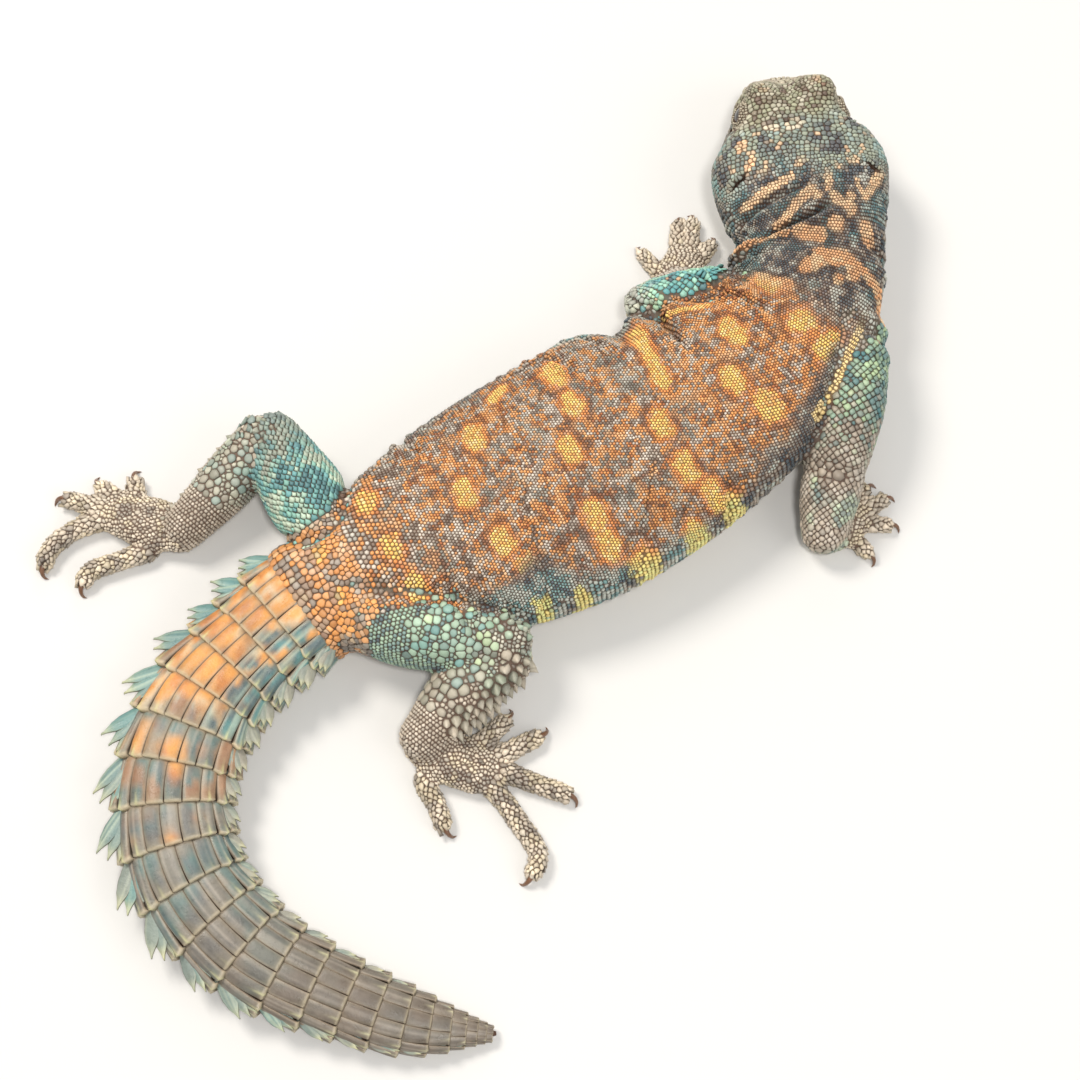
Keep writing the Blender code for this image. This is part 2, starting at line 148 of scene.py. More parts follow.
# Creases of loose skin: mm from the snout at the middle, mm that it slants for each degree,
# degrees round at the middle, half spread in degrees, depth and half width in mm
CREASES = {
    "throat": (37.0, 0.0, 270, 95, 1.1, 1.4),
    "neck_left_front": (34.8, -0.075, 56, 42, 1.2, 0.8),
    "neck_left_deep": (39.9, -0.12, 76, 36, 2.1, 0.95),
    "neck_left_rear": (51.2, -0.13, 24, 34, 1.4, 0.95),
    "neck_right": (44.5, 0.05, 158, 34, 0.9, 1.0),
    "shoulder_flap_left": (47.6, -0.147, 18, 30, -1.8, 1.2),
    "shoulder_left": (64.8, -0.03, 46, 40, 1.5, 1.0),
    "hollow_left": (89.0, 0.0, 6, 52, 1.5, 6.5),
    "shoulder_right": (56.5, 0.0, 158, 32, 1.0, 1.1),
    "hood_left_front": (76.5, 0.0, 36, 24, -1.3, 3.6),
    "hood_left_notch": (82.4, 0.03, 46, 28, 1.6, 1.0),
    "hood_left_rear": (87.2, 0.0, 26, 32, -1.8, 2.6),
    "flank_left_front": (98.0, -0.14, 30, 28, 0.7, 0.9),
    "flank_left_middle": (107.0, -0.14, 30, 30, 0.8, 0.9),
    "armpit_right": (92.0, 0.10, 160, 30, 0.8, 1.2),
    "side_right": (106.0, 0.33, 126, 22, 0.5, 0.7),
    "loin_right_front": (127.4, 0.08, 128, 54, 0.8, 0.8),
    "loin_right_rear": (136.4, -0.12, 146, 32, 1.0, 0.9),
    "groin_right": (144.0, 0.0, 138, 32, 1.3, 1.2),
    "groin_left": (140.0, -0.06, 28, 32, 0.9, 1.2),
}

# Limbs: ends of each length as x, y, z and the radius there
LIMBS = {
    "upper_arm_left": ((41.0, 48.6, 12.4, 6.6), (29.8, 49.2, 12.2, 6.0), (20.4, 47.8, 10.4, 5.0)),
    "forearm_left": ((20.6, 48.0, 9.6, 4.9), (25.0, 52.2, 7.2, 4.7), (28.7, 56.6, 4.6, 3.4)),
    "upper_arm_right": ((60.6, 41.5, 12.2, 8.0), (60.2, 27.0, 12.0, 7.1), (57.6, 16.2, 10.6, 6.3)),
    "forearm_right": ((57.6, 15.8, 9.8, 6.0), (56.0, 8.4, 7.6, 5.8), (54.9, 2.2, 4.9, 4.4)),
    "thigh_left": ((-40.0, 1.0, 8.6, 8.2), (-46.6, 10.6, 10.0, 7.7), (-52.2, 19.8, 10.8, 5.7)),
    "shank_left": ((-53.8, 20.2, 9.8, 5.3), (-60.4, 12.6, 7.4, 5.7), (-69.0, 3.6, 4.9, 4.4)),
    "thigh_right": ((-34.0, -14.6, 8.8, 8.8), (-20.4, -18.6, 10.6, 8.2), (-6.4, -21.0, 10.8, 6.2)),
    "shank_right": ((-6.4, -23.8, 9.2, 5.7), (-14.4, -30.0, 7.4, 6.3), (-22.2, -38.6, 4.9, 4.7)),
}

# Hands and feet: the palm's two ends and half width, and each digit's bends, first to fifth
PAWS = {
    "hand_left": {
        "palm": ((28.8, 56.4, 3.0), (29.0, 63.2, 2.2), 4.4),
        "digits": (
            ((32.0, 58.8), (36.8, 59.6)),
            ((31.6, 62.0), (35.2, 66.9)),
            ((30.3, 63.4), (31.6, 72.1)),
            ((28.2, 63.6), (28.4, 71.6)),
            ((25.4, 60.2), (21.0, 64.8)),
        ),
        "radius": 1.5,
    },
    "hand_right": {
        "palm": ((55.0, 2.4, 3.0), (61.2, 6.4, 2.2), 4.4),
        "digits": (
            ((58.2, 8.0), (59.0, 13.0)),
            ((60.6, 8.6), (64.2, 13.0)),
            ((62.4, 7.4), (67.6, 10.8)),
            ((62.6, 5.4), (68.4, 5.6)),
            ((60.6, 3.0), (64.2, -0.4)),
        ),
        "radius": 1.5,
    },
    "foot_left": {
        "palm": ((-69.2, 3.4, 3.2), (-82.0, 7.4, 2.3), 5.2),
        "digits": (
            ((-78.6, 9.4), (-80.0, 14.6)),
            ((-81.6, 9.6), (-86.4, 13.4)),
            ((-84.0, 8.2), (-93.0, 10.8)),
            ((-84.2, 6.2), (-91.2, 4.2), (-96.0, -0.6), (-96.6, -2.6)),
            ((-75.4, 1.4), (-82.2, -2.2), (-88.0, -5.0), (-88.6, -6.4)),
        ),
        "radius": 1.75,
    },
    "foot_right": {
        "palm": ((-22.2, -39.0, 3.2), (-11.6, -44.4, 2.3), 5.0),
        "digits": (
            ((-12.8, -39.6), (-6.6, -34.2)),
            ((-10.2, -41.6), (-0.4, -37.4)),
            ((-8.4, -43.6), (-0.8, -46.4), (5.0, -48.4)),
            ((-10.4, -46.0), (-4.4, -53.2), (-0.4, -61.6), (-1.4, -63.6)),
            ((-21.6, -45.0), (-19.4, -50.4), (-17.9, -54.4)),
        ),
        "radius": 1.75,
    },
}
DIGIT_NAMES = ("first", "second", "third", "fourth", "fifth")

# Eye spots in rows across the back: half width, half reach of the middle line across the
# back, then the places, in mm from the snout and mm to the left
SPOTS = {
    "withers": (2.7, 0.3, (57.0, 6.8), (61.6, -2.6), (62.4, -9.8)),
    "shoulders": (2.3, 1.2, (72.5, 5.3), (79.5, -2.4), (77.4, -10.4)),
    "ribs": (2.2, 1.3, (96.0, -3.0), (96.4, -12.4), (94.2, -19.0)),
    "middle": (2.2, 1.2, (108.2, 17.0), (108.6, 9.0), (113.8, 1.0), (115.4, -12.5), (115.8, -18.0)),
    "waist": (2.2, 1.1, (128.5, 12.0), (134.8, 2.5), (132.5, -9.0), (130.5, -16.0), (130.0, -21.0)),
    "pelvis": (2.0, 0.9, (152.0, 10.0), (151.0, -1.0), (150.0, -9.5)),
    "rump": (1.6, 0.5, (163.5, 5.0), (163.5, -4.5)),
}

# Streaks and patches: half width, then the places that its middle line joins
SHOULDER_STRIPE = ((0.75, (55.0, -12.6), (60.4, -13.3), (65.1, -15.0), (71.5, -16.7)),)
FLANK_STREAKS = (
    (1.7, (89.2, 17.0), (90.3, 9.5), (91.3, 4.2)),
    (0.8, (71.0, 13.4), (77.2, 15.6), (81.0, 17.4)),
    (2.0, (91.4, -23.2), (91.8, -21.0)),
    (2.0, (100.2, -24.3), (100.6, -22.5)),
    (2.2, (110.6, -24.7), (111.0, -22.8)),
    (1.3, (118.5, 19.8), (121.5, 18.6)),
    (1.4, (130.6, -21.9)),
    (1.4, (123.6, -23.4)),
)
TEAL_PATCHES = (
    (2.6, (127.0, -20.6), (135.0, -20.4)),
    (1.8, (137.0, -16.4), (146.0, -14.2)),
    (3.0, (116.8, -21.0), (119.0, -22.5)),
    (2.6, (126.5, -20.3)),
    (2.2, (104.5, -23.5)),
    (1.8, (98.0, 21.5), (104.0, 22.5)),
)
NECK_MARKS = (
    (1.4, (27.8, -9.4)),
    (0.75, (26.5, -5.4), (29.6, -6.5)),
    (0.55, (26.4, -2.6), (28.1, -2.6)),
    (0.8, (26.3, -1.3), (28.5, 1.6)),
    (1.0, (28.3, 8.3)),
    (0.85, (30.5, 3.2), (32.4, 8.0), (33.8, 11.5), (34.4, 13.3)),
    (0.95, (33.3, -0.4), (36.4, 3.8), (40.6, 7.7)),
    (0.95, (35.1, -1.1)),
    (0.75, (30.5, -4.0), (33.9, -3.5)),
    (1.35, (35.7, -4.3), (38.1, -7.2)),
    (1.1, (35.7, -7.7)),
    (0.95, (30.1, -15.5), (36.1, -10.6)),
    (0.55, (32.7, -9.6), (36.1, -10.6)),
    (1.5, (40.9, -3.7)),
    (1.6, (42.7, 3.1), (43.1, -0.4)),
    (0.8, (43.2, 6.1), (44.5, 11.2)),
    (0.9, (44.5, 11.2), (47.6, 16.2)),
    (1.4, (41.0, -9.7), (42.8, -10.2)),
    (1.7, (50.7, 1.2), (47.7, -0.8), (46.9, -5.8), (48.7, -8.2)),
    (1.1, (51.3, -5.4)),
    (2.1, (56.5, 9.0), (56.4, 3.2)),
    (0.9, (48.3, -10.2), (50.0, -13.6), (53.0, -16.0), (60.0, -17.6)),
    (0.7, (63.7, 11.6), (57.9, 10.2)),
)
CHEEK_MARKS = ((0.8, (21.2, 11.4), (23.8, 12.1)), (0.7, (26.3, 10.4), (27.8, 11.4)))
PALE_FLECKS = ((0.8, (18.8, 6.4), (19.4, 4.8)), (0.8, (20.0, 1.6), (19.8, -0.2)))
# Small pits of the crown, darkened by painted shade, as the mesh has no hollow there
CROWN_PITS = ((0.4, (14.2, 1.4)), (0.5, (16.0, -0.2)), (0.35, (17.8, 2.4)), (0.4, (15.4, -3.4)))
BROW_DOMES = ((3.0, (9.0, 4.9)), (3.0, (8.8, -6.2)))


def srgb(red, green, blue):
    """A screen colour from 0 to 255 as linear light."""
    shares = np.array((red, green, blue)) / 255
    return tuple(np.where(shares <= 0.04045, shares / 12.92, ((shares + 0.055) / 1.055) ** 2.4))


def size_of(name, value, text):
    return FloatProperty(name=name, default=value, min=0.01, description=text)


def colour_of(name, screen, text):
    return FloatVectorProperty(
        name=name, subtype="COLOR", size=3, min=0, max=1, default=srgb(*screen), description=text
    )


class LizardSizes(bpy.types.PropertyGroup):
    """Sizes in millimetres."""

    skin_cell: size_of("Skin cell", 0.78, "Spacing of the skin's mesh, in mm")
    back_scale: size_of("Back scale", 0.62, "Width of the fine scales on the back, in mm")
    belly_scale: size_of("Belly scale", 1.15, "Width of the smooth belly scales, in mm")
    crown_scale: size_of("Crown scale", 1.15, "Width of the head's larger scales, in mm")
    arm_scale: size_of("Arm scale", 1.55, "Corner to corner width of the arms' tiles, in mm")
    leg_scale: size_of("Leg scale", 0.85, "Width of the small scales on the legs, in mm")
    paw_scale: size_of("Paw scale", 0.72, "Width of the scales on hands and feet, in mm")
    knob: size_of("Leg knob", 2.1, "Width of the largest round knobs on the legs, in mm")
    tail_plate: size_of("Tail plate", 3.5, "Width of the plates on the back of the tail, in mm")


class LizardColours(bpy.types.PropertyGroup):
    """Skin, scale, horn and eye colours."""

    yellow: colour_of("Spot yellow", (248, 208, 116), "Middle of the eye spots")
    orange: colour_of("Orange", (236, 152, 80), "Bright scales between the eye spots")
    rust: colour_of("Rust", (176, 106, 64), "Deep orange-brown scales")
    umber: colour_of("Umber", (96, 70, 54), "Dark lines between the markings")
    ash: colour_of("Ash", (212, 200, 184), "Pale grey scales of the back")
    stone: colour_of("Stone", (154, 140, 125), "Middle grey scales")
    slate: colour_of("Slate", (84, 94, 100), "Neck and flank shadow")
    teal: colour_of("Teal", (98, 160, 160), "Blue-green of flanks and limbs")
    jade: colour_of("Jade", (172, 214, 184), "Greenish scales of arms and thighs")
    olive: colour_of("Olive", (152, 152, 124), "Crown of the head")
    peach: colour_of("Peach", (238, 182, 136), "Streaks of the neck and flecks of the head")
    cream: colour_of("Cream", (238, 220, 180), "Seams of the tail and small pale spots")
    lemon: colour_of("Lemon", (226, 228, 150), "Tips of the tail's side spines")
    sand: colour_of("Sand", (216, 200, 178), "Hands and feet")
    gap: colour_of("Gap", (46, 36, 30), "Skin that shows between the scales")
    horn: colour_of("Horn", (112, 78, 54), "Claws")
    iris: colour_of("Iris", (58, 34, 18), "Iris")


def sizes():
    return bpy.context.scene.lizard_sizes


@functools.lru_cache(maxsize=None)
def palette():
    """The colours as arrays, by name."""
    chosen = bpy.context.scene.lizard_colours
    return {key: np.array(getattr(chosen, key)) for key in LizardColours.__annotations__}


def fade(low, high, values):
    """0 below low and 1 above high, with a smooth S between. Also falls where low > high."""
    t = np.clip((np.asarray(values, float) - low) / (high - low), 0, 1)
    return t * t * (3 - 2 * t)


def mix(first, second, share):
    """Blends colours or rows of colours by a share for each row."""
    share = np.asarray(share)[..., None]
    return first * (1 - share) + second * share


def lattice(cells, seed):
    """A fixed pseudo-random number from 0 to 1 for each whole-number cell."""
    mixed = cells[..., 0] * 374761393 + cells[..., 1] * 668265263
    mixed = mixed + cells[..., 2] * 362437 + seed * 1442695041
    mixed = (mixed ^ (mixed >> 13)) * 1274126177
    return ((mixed ^ (mixed >> 16)) & 0xFFFF) / 0xFFFF


def noise(points, size, seed=0):
    """Smooth noise from 0 to 1: lattice values at cell corners blended by smooth weights."""
    scaled = np.asarray(points, float) / size
    cells = np.floor(scaled).astype(np.int64)
    t = scaled - cells
    t = t * t * (3 - 2 * t)
    total = np.zeros(scaled.shape[:-1])
    for corner in itertools.product((0, 1), repeat=3):
        step = np.array(corner)
        total += np.prod(np.where(step == 1, t, 1 - t), axis=-1) * lattice(cells + step, seed)
    return total


def unit(vectors):
    """Vectors scaled to length 1."""
    return vectors / np.maximum(np.linalg.norm(vectors, axis=-1, keepdims=True), 1e-9)


def smooth_rows(table, places):
    """Rows of a table read at fractional row numbers, on a smooth curve through them."""
    rows = np.array(list(table), float)
    step = np.linalg.norm(np.diff(rows[:, :3], axis=0), axis=1)
    knots = np.concatenate([[0.0], np.cumsum(step)])
    slopes = np.gradient(rows, knots, axis=0)
    at = np.interp(places, np.arange(len(rows)), knots)
    left = np.clip(np.searchsorted(knots, at, side="right") - 1, 0, len(rows) - 2)
    width = (knots[left + 1] - knots[left])[:, None]
    t = ((at - knots[left])[:, None]) / width
    return (
        rows[left] * (2 * t**3 - 3 * t**2 + 1)
        + slopes[left] * width * (t**3 - 2 * t**2 + t)
        + rows[left + 1] * (3 * t**2 - 2 * t**3)
        + slopes[left + 1] * width * (t**3 - t**2)
    )


class Tube:
    """Ovals carried along a smooth line.

    A point is centre + across * side + upward * up, where across and upward go round an oval
    with the line's own half width, height and depth. Angle 0 is the animal's left, a quarter
    turn is its back. Past either end the oval closes as a half ellipse. Relief is an extra
    height in mm that depends on distance and angle.
    """

    def __init__(self, stations, squareness=2.0, caps=None, relief=None):
        stations = list(stations)
        rows = smooth_rows(stations, np.linspace(0, len(stations) - 1, 160 * len(stations)))
        back = unit(np.gradient(rows[:, :3], axis=0))
        side = unit(np.cross(back, (0.0, 0.0, 1.0)))
        up = np.cross(side, back)
        step = np.linalg.norm(np.diff(rows[:, :3], axis=0), axis=1)
        self.run = np.concatenate([[0.0], np.cumsum(step)])
        self.length = self.run[-1]
        self.table = np.column_stack([rows, back, side, up])
        self.caps = caps or (rows[0, 3] * 0.8, rows[-1, 3] * 0.8)
        self.squareness = squareness
        self.relief = relief

    def row(self, run):
        """The table at a distance, and how far the distance lies past either end."""
        inside = np.clip(run, 0, self.length)
        return np.column_stack([np.interp(inside, self.run, c) for c in self.table.T]), run - inside

    def point(self, run, angle, lift=0.0):
        """Points at a distance and angle, lifted off the surface by some mm."""
        run = np.asarray(run, float)
        row, over = self.row(run)
        cap = np.where(over < 0, self.caps[0], self.caps[1])
        shrink = np.sqrt(np.clip(1 - (over / cap) ** 2, 0, 1))
        power = 2.0 / self.squareness
        x = np.sign(np.cos(angle)) * np.abs(np.cos(angle)) ** power * (row[:, 3] + lift)
        tall = np.where(np.sin(angle) > 0, row[:, 4], row[:, 5]) + lift
        z = np.sign(np.sin(angle)) * np.abs(np.sin(angle)) ** power * tall
        if self.relief is not None:
            scale = 1 + self.relief(run, angle) / np.maximum(np.hypot(x, z), 0.5)
            x, z = x * scale, z * scale
        centre = row[:, :3] + row[:, 6:9] * over[:, None]
        return centre + row[:, 9:12] * (x * shrink)[:, None] + row[:, 12:15] * (z * shrink)[:, None]

    def facing(self, run, angle):
        """Outward and backward directions, and mm of surface for each mm of distance."""
        along = self.point(run + 0.1, angle) - self.point(run - 0.1, angle)
        around = self.point(run, angle + 0.02) - self.point(run, angle - 0.02)
        return unit(np.cross(along, around)), unit(along), np.linalg.norm(along, axis=1) / 0.2

    def find(self, points):
        """Distance, angle and how far out each point lies, where 1 is on the oval."""
        picked = self.table[::16]
        nearest = np.empty(len(points), int)
        for block in range(0, len(points), 20000):
            offset = points[block : block + 20000, None, :] - picked[None, :, :3]
            nearest[block : block + 20000] = (offset**2).sum(-1).argmin(1)
        row = picked[nearest]
        offset = points - row[:, :3]
        along = (offset * row[:, 6:9]).sum(1)
        x = (offset * row[:, 9:12]).sum(1)
        z = (offset * row[:, 12:15]).sum(1)
        tall = np.where(z > 0, row[:, 4], row[:, 5])
        out = np.hypot(x / row[:, 3], z / tall)
        past = np.maximum(np.abs(along) - self.length / len(picked), 0) / row[:, 3]
        return self.run[::16][nearest] + along, np.arctan2(z / tall, x / row[:, 3]), out + past

    def rows(self, start, stop, spacing, low=0.0, high=2 * math.pi, seed=1, jitter=0.06, pitch=0.87,
             group=1):
        """Scale roots in staggered rows round the tube, evenly spaced by length of skin.

        Spacing is a function from distance to mm, and pitch the step from row to row as a share
        of it. Rows hold a multiple of group roots, so that slanting rows run on unbroken while
        the tube's width changes. Returns the distance, angle and width of each.
        """
        rng = np.random.default_rng(seed)
        runs = [start]
        while runs[-1] < stop:
            runs.append(runs[-1] + pitch * spacing(runs[-1]))
        fine = np.linspace(low, high, 121)
        grid = self.point(np.repeat(runs, 121), np.tile(fine, len(runs))).reshape(-1, 121, 3)
        arcs = np.cumsum(np.linalg.norm(np.diff(grid, axis=1), axis=2), axis=1)
        found = []
        for number, (run, arc) in enumerate(zip(runs, arcs)):
            count = max(1, group * round(arc[-1] / spacing(run) / group))
            at = (np.arange(count) + 0.25 + 0.5 * (number % 2)) / count * arc[-1]
            angle = np.interp(at, np.concatenate([[0.0], arc]), fine)
            found.append(np.column_stack([np.full(count, run), angle, np.full(count, arc[-1] / count)]))
        run, angle, width = np.concatenate(found).T
        run = run + width * rng.normal(0, jitter, len(run))
        angle = angle + rng.normal(0, jitter, len(run)) * width * (high - low) / arcs[:, -1].mean()
        return run, angle, width


def degrees_from(angle, middle):
    """Degrees between an angle in radians and a middle in degrees, signed."""
    return (np.degrees(angle) - middle + 180) % 360 - 180


def body_relief(run, angle):
    """The head's swellings, mirrored from side to side."""
    folded = np.degrees(np.arccos(np.abs(np.cos(angle)))) * np.sign(np.sin(angle))
    total = np.zeros_like(run * angle)
    for along, round_at, height, spread, spread_round in SWELLINGS.values():
        total += height * np.exp(
            -(((run - along) / spread) ** 2) - ((folded - round_at) / spread_round) ** 2
        )
    return total


def folds(run, angle):
    """Height of the loose skin: each crease is a furrow with a swollen lip behind it, and fine
    ripples run across the flanks between neck and hip."""
    total = np.zeros_like(run * angle)
    for along, slant, middle, spread, depth, width in CREASES.values():
        turn = degrees_from(angle, middle)
        window = fade(1.0, 0.45, np.abs(turn) / spread)
        near = (run - along - slant * turn) / width
        lips = 0.6 * np.exp(-((near - 1.7) ** 2)) + 0.3 * np.exp(-((near + 1.7) ** 2))
        total += window * depth * (lips - np.exp(-(near**2)))
    aside = np.abs(degrees_from(angle, 90))
    flank = fade(36, 62, aside) * fade(124, 100, aside) * fade(30, 38, run) * fade(160, 146, run)
    wave = 2 * math.pi * run / 2.9 + 1.4 * np.sin(angle * 5 + run * 0.19) + 0.05 * (aside - 60)
    return total + flank * 0.24 * np.sin(wave) * (0.5 + 0.5 * np.sin(run * 0.23 + angle * 2))


@functools.lru_cache(maxsize=None)
def body():
    return Tube(STATIONS.values(), 2.2, (1.9, 1.2), body_relief)


@functools.lru_cache(maxsize=None)
def limbs():
    """Each limb's lengths as tubes."""
    return {
        name: Tube([(x, y, z, r, r, r) for x, y, z, r in rows]) for name, rows in LIMBS.items()
    }


def digit_stations(paw, number):
    """A digit's line from inside the palm to its tip, lying on the floor."""
    (x0, y0, _), (x1, y1, _), _ = paw["palm"]
    points, radius = paw["digits"][number], paw["radius"]
    last = len(points) - 1
    rows = []
    for i, (x, y) in enumerate(points):
        r = radius * (1.08 - 0.13 * i / last)
        rows.append((x, y, radius * (1.05 - 0.15 * i / last), r, r, r))
    inner = np.array(rows[0])
    middle = np.array(((x0 + x1) / 2, (y0 + y1) / 2, *inner[2:]))
    return [tuple(inner * 0.55 + middle * 0.45), *rows]


@functools.lru_cache(maxsize=None)
def paws():
    """Each palm and digit as tubes, by paw and part."""
    found = {}
    for name, paw in PAWS.items():
        (x0, y0, z0), (x1, y1, z1), half = paw["palm"]
        rows = []
        for x, y, z, r in (
            (x0, y0, z0, half * 0.82),
            ((x0 + x1) / 2, (y0 + y1) / 2, (z0 + z1) / 2 - 0.1, half),
            (x1, y1, z1 - 0.2, half * 0.86),
        ):
            rows.append((x, y, z, r, r * 0.58, r * 0.58))
        found[name, "palm"] = Tube(rows)
        for number, digit in enumerate(DIGIT_NAMES):
            found[name, digit] = Tube(digit_stations(paw, number), caps=(0.9, 0.9))
    return found


def closed_tube(tube, step, sides, depth):
    """A tube's surface sunk by some mm as points and faces, closed by a fan at each end."""
    front, rear = tube.caps
    inner = np.arange(0, tube.length, step)
    turn = np.linspace(0, 1, 6)[1:]
    runs = np.concatenate([-front * np.sin(turn * 1.5)[::-1], inner, [tube.length],
                           tube.length + rear * np.sin(turn * 1.5)])
    angles = np.linspace(0, 2 * math.pi, sides, endpoint=False)
    points = tube.point(np.repeat(runs, sides), np.tile(angles, len(runs)), -depth)
    first = np.arange((len(runs) - 1) * sides)
    after = first - first % sides + (first + 1) % sides
    quads = np.column_stack([first, first + sides, after + sides, after])
    ends = [points[:sides].mean(0), points[-sides:].mean(0)]
    top, ring = len(points), np.arange(sides)
    last = (len(runs) - 1) * sides
    tris = [(top, i, (i + 1) % sides) for i in ring]
    tris += [(top + 1, last + (i + 1) % sides, last + i) for i in ring]
    return np.vstack([points, ends]), quads.tolist() + tris


def make_object(name, points, faces, slot, material, metres=True):
    """A mesh object from points in mm about the animal, with smooth shading."""
    points = np.array(points, float)
    if metres:
        points[:, 2] = np.maximum(points[:, 2], FLOOR_CLEARANCE)
        points = (points - (*OUTLINE_MIDDLE, 0)) * MM
    mesh = bpy.data.meshes.new(name)
    if isinstance(faces, np.ndarray):
        mesh.vertices.add(len(points))
        mesh.vertices.foreach_set("co", points.ravel())
        mesh.loops.add(faces.size)
        mesh.loops.foreach_set("vertex_index", faces.ravel().astype(np.int32))
        mesh.polygons.add(len(faces))
        starts = np.arange(0, faces.size, faces.shape[1], dtype=np.int32)
        mesh.polygons.foreach_set("loop_start", starts)
        mesh.update(calc_edges=True)
    else:
        mesh.from_pydata(points.tolist(), [], faces)
    mesh.shade_smooth()
    obj = bpy.data.objects.new(name, mesh)
    bpy.context.scene.collection.objects.link(obj)
    if material is not None:
        mesh.materials.append(material)
        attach(obj, "root")
    return obj


def write_attribute(obj, name, kind, values):
    """Puts one value for each point into a mesh attribute."""
    attribute = obj.data.attributes.new(name, kind, "POINT")
    field = {"FLOAT": "value", "FLOAT_COLOR": "color", "FLOAT_VECTOR": "vector"}[kind]
    attribute.data.foreach_set(field, np.ascontiguousarray(values, np.float32).ravel())


def with_alpha(colours):
    return np.column_stack([np.clip(colours, 0, 1), np.ones(len(colours))])


def eye_frame(sign):
    """An eye's centre, and its outward, forward and upward directions."""
    row = body().row(np.array([EYE_FROM_SNOUT]))[0][0]
    back, side, up = row[6:9], row[9:12] * sign, row[12:15]
    centre = row[:3] + side * EYE_ASIDE + up * EYE_UP
    out = unit(side - back * 0.10 + up * 0.42)
    ahead = unit(-back - out * (-back @ out))
    rise = unit(up - out * (up @ out) - ahead * (up @ ahead))
    return centre, out, ahead, rise


def lid_measure(points, sign):
    """How far a point lies from the middle of an eye's opening, where 1 is the lids' rim."""
    centre, out, ahead, rise = eye_frame(sign)
    offset = points - centre
    x, z, depth = offset @ ahead, offset @ rise, offset @ out
    far = np.maximum(-depth, 0) * 3
    power = 1.65
    long, tall = EYE_OPENING
    return ((np.abs(x) / long) ** power + (np.abs(z) / tall) ** power) ** (1 / power) + far


def head_place(points):
    """Distance from the snout and the height over the head's middle line."""
    run, _, _ = body().find(points)
    row, _ = body().row(run)
    return run, ((points - row[:, :3]) * row[:, 12:15]).sum(1)


def mouth_height(run):
    """Height of the mouth line over the head's middle line: it dips, then turns up a little."""
    share = np.clip(run, -2, MOUTH_END) / MOUTH_END
    return -1.5 - 2.3 * share + 1.1 * share**3


def ear_measure(points, sign):
    """How far a point lies from the middle of an ear's slit, where 1 is its rim."""
    angle = math.radians(EAR_ANGLE if sign > 0 else 180 - EAR_ANGLE)
    run = np.array([EAR_FROM_SNOUT])
    centre = body().point(run, np.array([angle]))[0]
    out, back, _ = (v[0] for v in body().facing(run, np.array([angle])))
    rise = unit(np.cross(back, out))
    if rise[2] < 0:
        rise = -rise
    offset = points - centre
    x = offset @ back + 0.35 * (offset @ rise)
    far = np.maximum(np.abs(offset @ out) - 3, 0)
    return np.hypot(x / EAR_HALF_SIZE[0], offset @ rise / EAR_HALF_SIZE[1]) + far


def nostril_distance(points, sign):
    angle = math.radians(NOSTRIL[1] if sign > 0 else 180 - NOSTRIL[1])
    centre = body().point(np.array([NOSTRIL[0]]), np.array([angle]))[0]
    return np.linalg.norm(points - centre, axis=1)


def shape_head(points, normals):
    """Moves the head's skin points: lids over the eyes, ear slits, nostrils, mouth and brows."""
    moved = points.copy()
    for sign in (1, -1):
        centre = eye_frame(sign)[0]
        away = points - centre
        reach = np.linalg.norm(away, axis=1, keepdims=True)
        measure = lid_measure(points, sign)
        rim = 0.2 * np.exp(-(((measure - 1.15) / 0.16) ** 2))
        crease = 0.3 * np.exp(-(((measure - 1.75) / 0.2) ** 2))
        lid = EYE_RADIUS + LID_THICKNESS + rim - crease
        radius = np.where(measure < 1.0, EYE_RADIUS - 0.9, lid)[:, None]
        weight = fade(2.7, 1.5, measure)[:, None] * (measure < 2.7)[:, None]
        moved += (centre + away / np.maximum(reach, 0.1) * radius - points) * weight
        furrow = 0.42 * np.exp(-(((measure - 2.5) / 0.32) ** 2))
        slit = ear_measure(points, sign)
        pit = 2.2 * np.clip(1 - slit**2, 0, 1) ** 0.6
        lip = 0.35 * np.exp(-(((slit - 1.5) / 0.35) ** 2))
        near = nostril_distance(points, sign) / NOSTRIL_RADIUS
        hole = 1.0 * np.clip(1 - near**2, 0, 1) ** 0.7
        collar = 0.2 * np.exp(-(((near - 1.6) / 0.5) ** 2))
        moved += normals * (lip - pit - furrow + collar - hole)[:, None]
    run, height = head_place(points)
    back = body().row(run)[0][:, 6:9]
    moved += (back * SNOUT_SHORTER - np.array((0, 0, SNOUT_LOWER))) * fade(9, 0, run)[:, None]
    below = height - mouth_height(run)
    ends = fade(MOUTH_END + 1.5, MOUTH_END - 2.0, run)
    lips = 0.16 * np.exp(-(((np.abs(below) - 0.75) / 0.4) ** 2)) - 0.55 * np.exp(-((below / 0.26) ** 2))
    return moved + normals * (lips * ends)[:, None]


def mesh_arrays(obj):
    """Points, vertex normals and triangles of an object with its modifiers applied."""
    graph = bpy.context.evaluated_depsgraph_get()
    mesh = obj.evaluated_get(graph).to_mesh()
    mesh.calc_loop_triangles()
    points = np.empty((len(mesh.vertices), 3))
    mesh.vertices.foreach_get("co", points.ravel())
    normals = np.empty((len(mesh.vertices), 3), np.float32)
    mesh.vertices.foreach_get("normal", normals.ravel())
    tris = np.empty((len(mesh.loop_triangles), 3), np.int32)
    mesh.loop_triangles.foreach_get("vertices", tris.ravel())
    return points, normals.astype(float), tris


def refine(obj, centres, reach):
    """Splits each face within reach of a centre into four."""
    bm = bmesh.new()
    bm.from_mesh(obj.data)
    points = np.array([v.co for v in bm.verts])
    near = np.zeros(len(points), bool)
    for centre in centres:
        near |= np.linalg.norm(points - centre, axis=1) < reach
    edges = [e for e in bm.edges if near[e.verts[0].index] and near[e.verts[1].index]]
    bmesh.ops.subdivide_edges(bm, edges=edges, cuts=1, use_grid_fill=True)
    bmesh.ops.triangulate(bm, faces=[f for f in bm.faces if len(f.verts) > 4])
    bm.to_mesh(obj.data)
    bm.free()


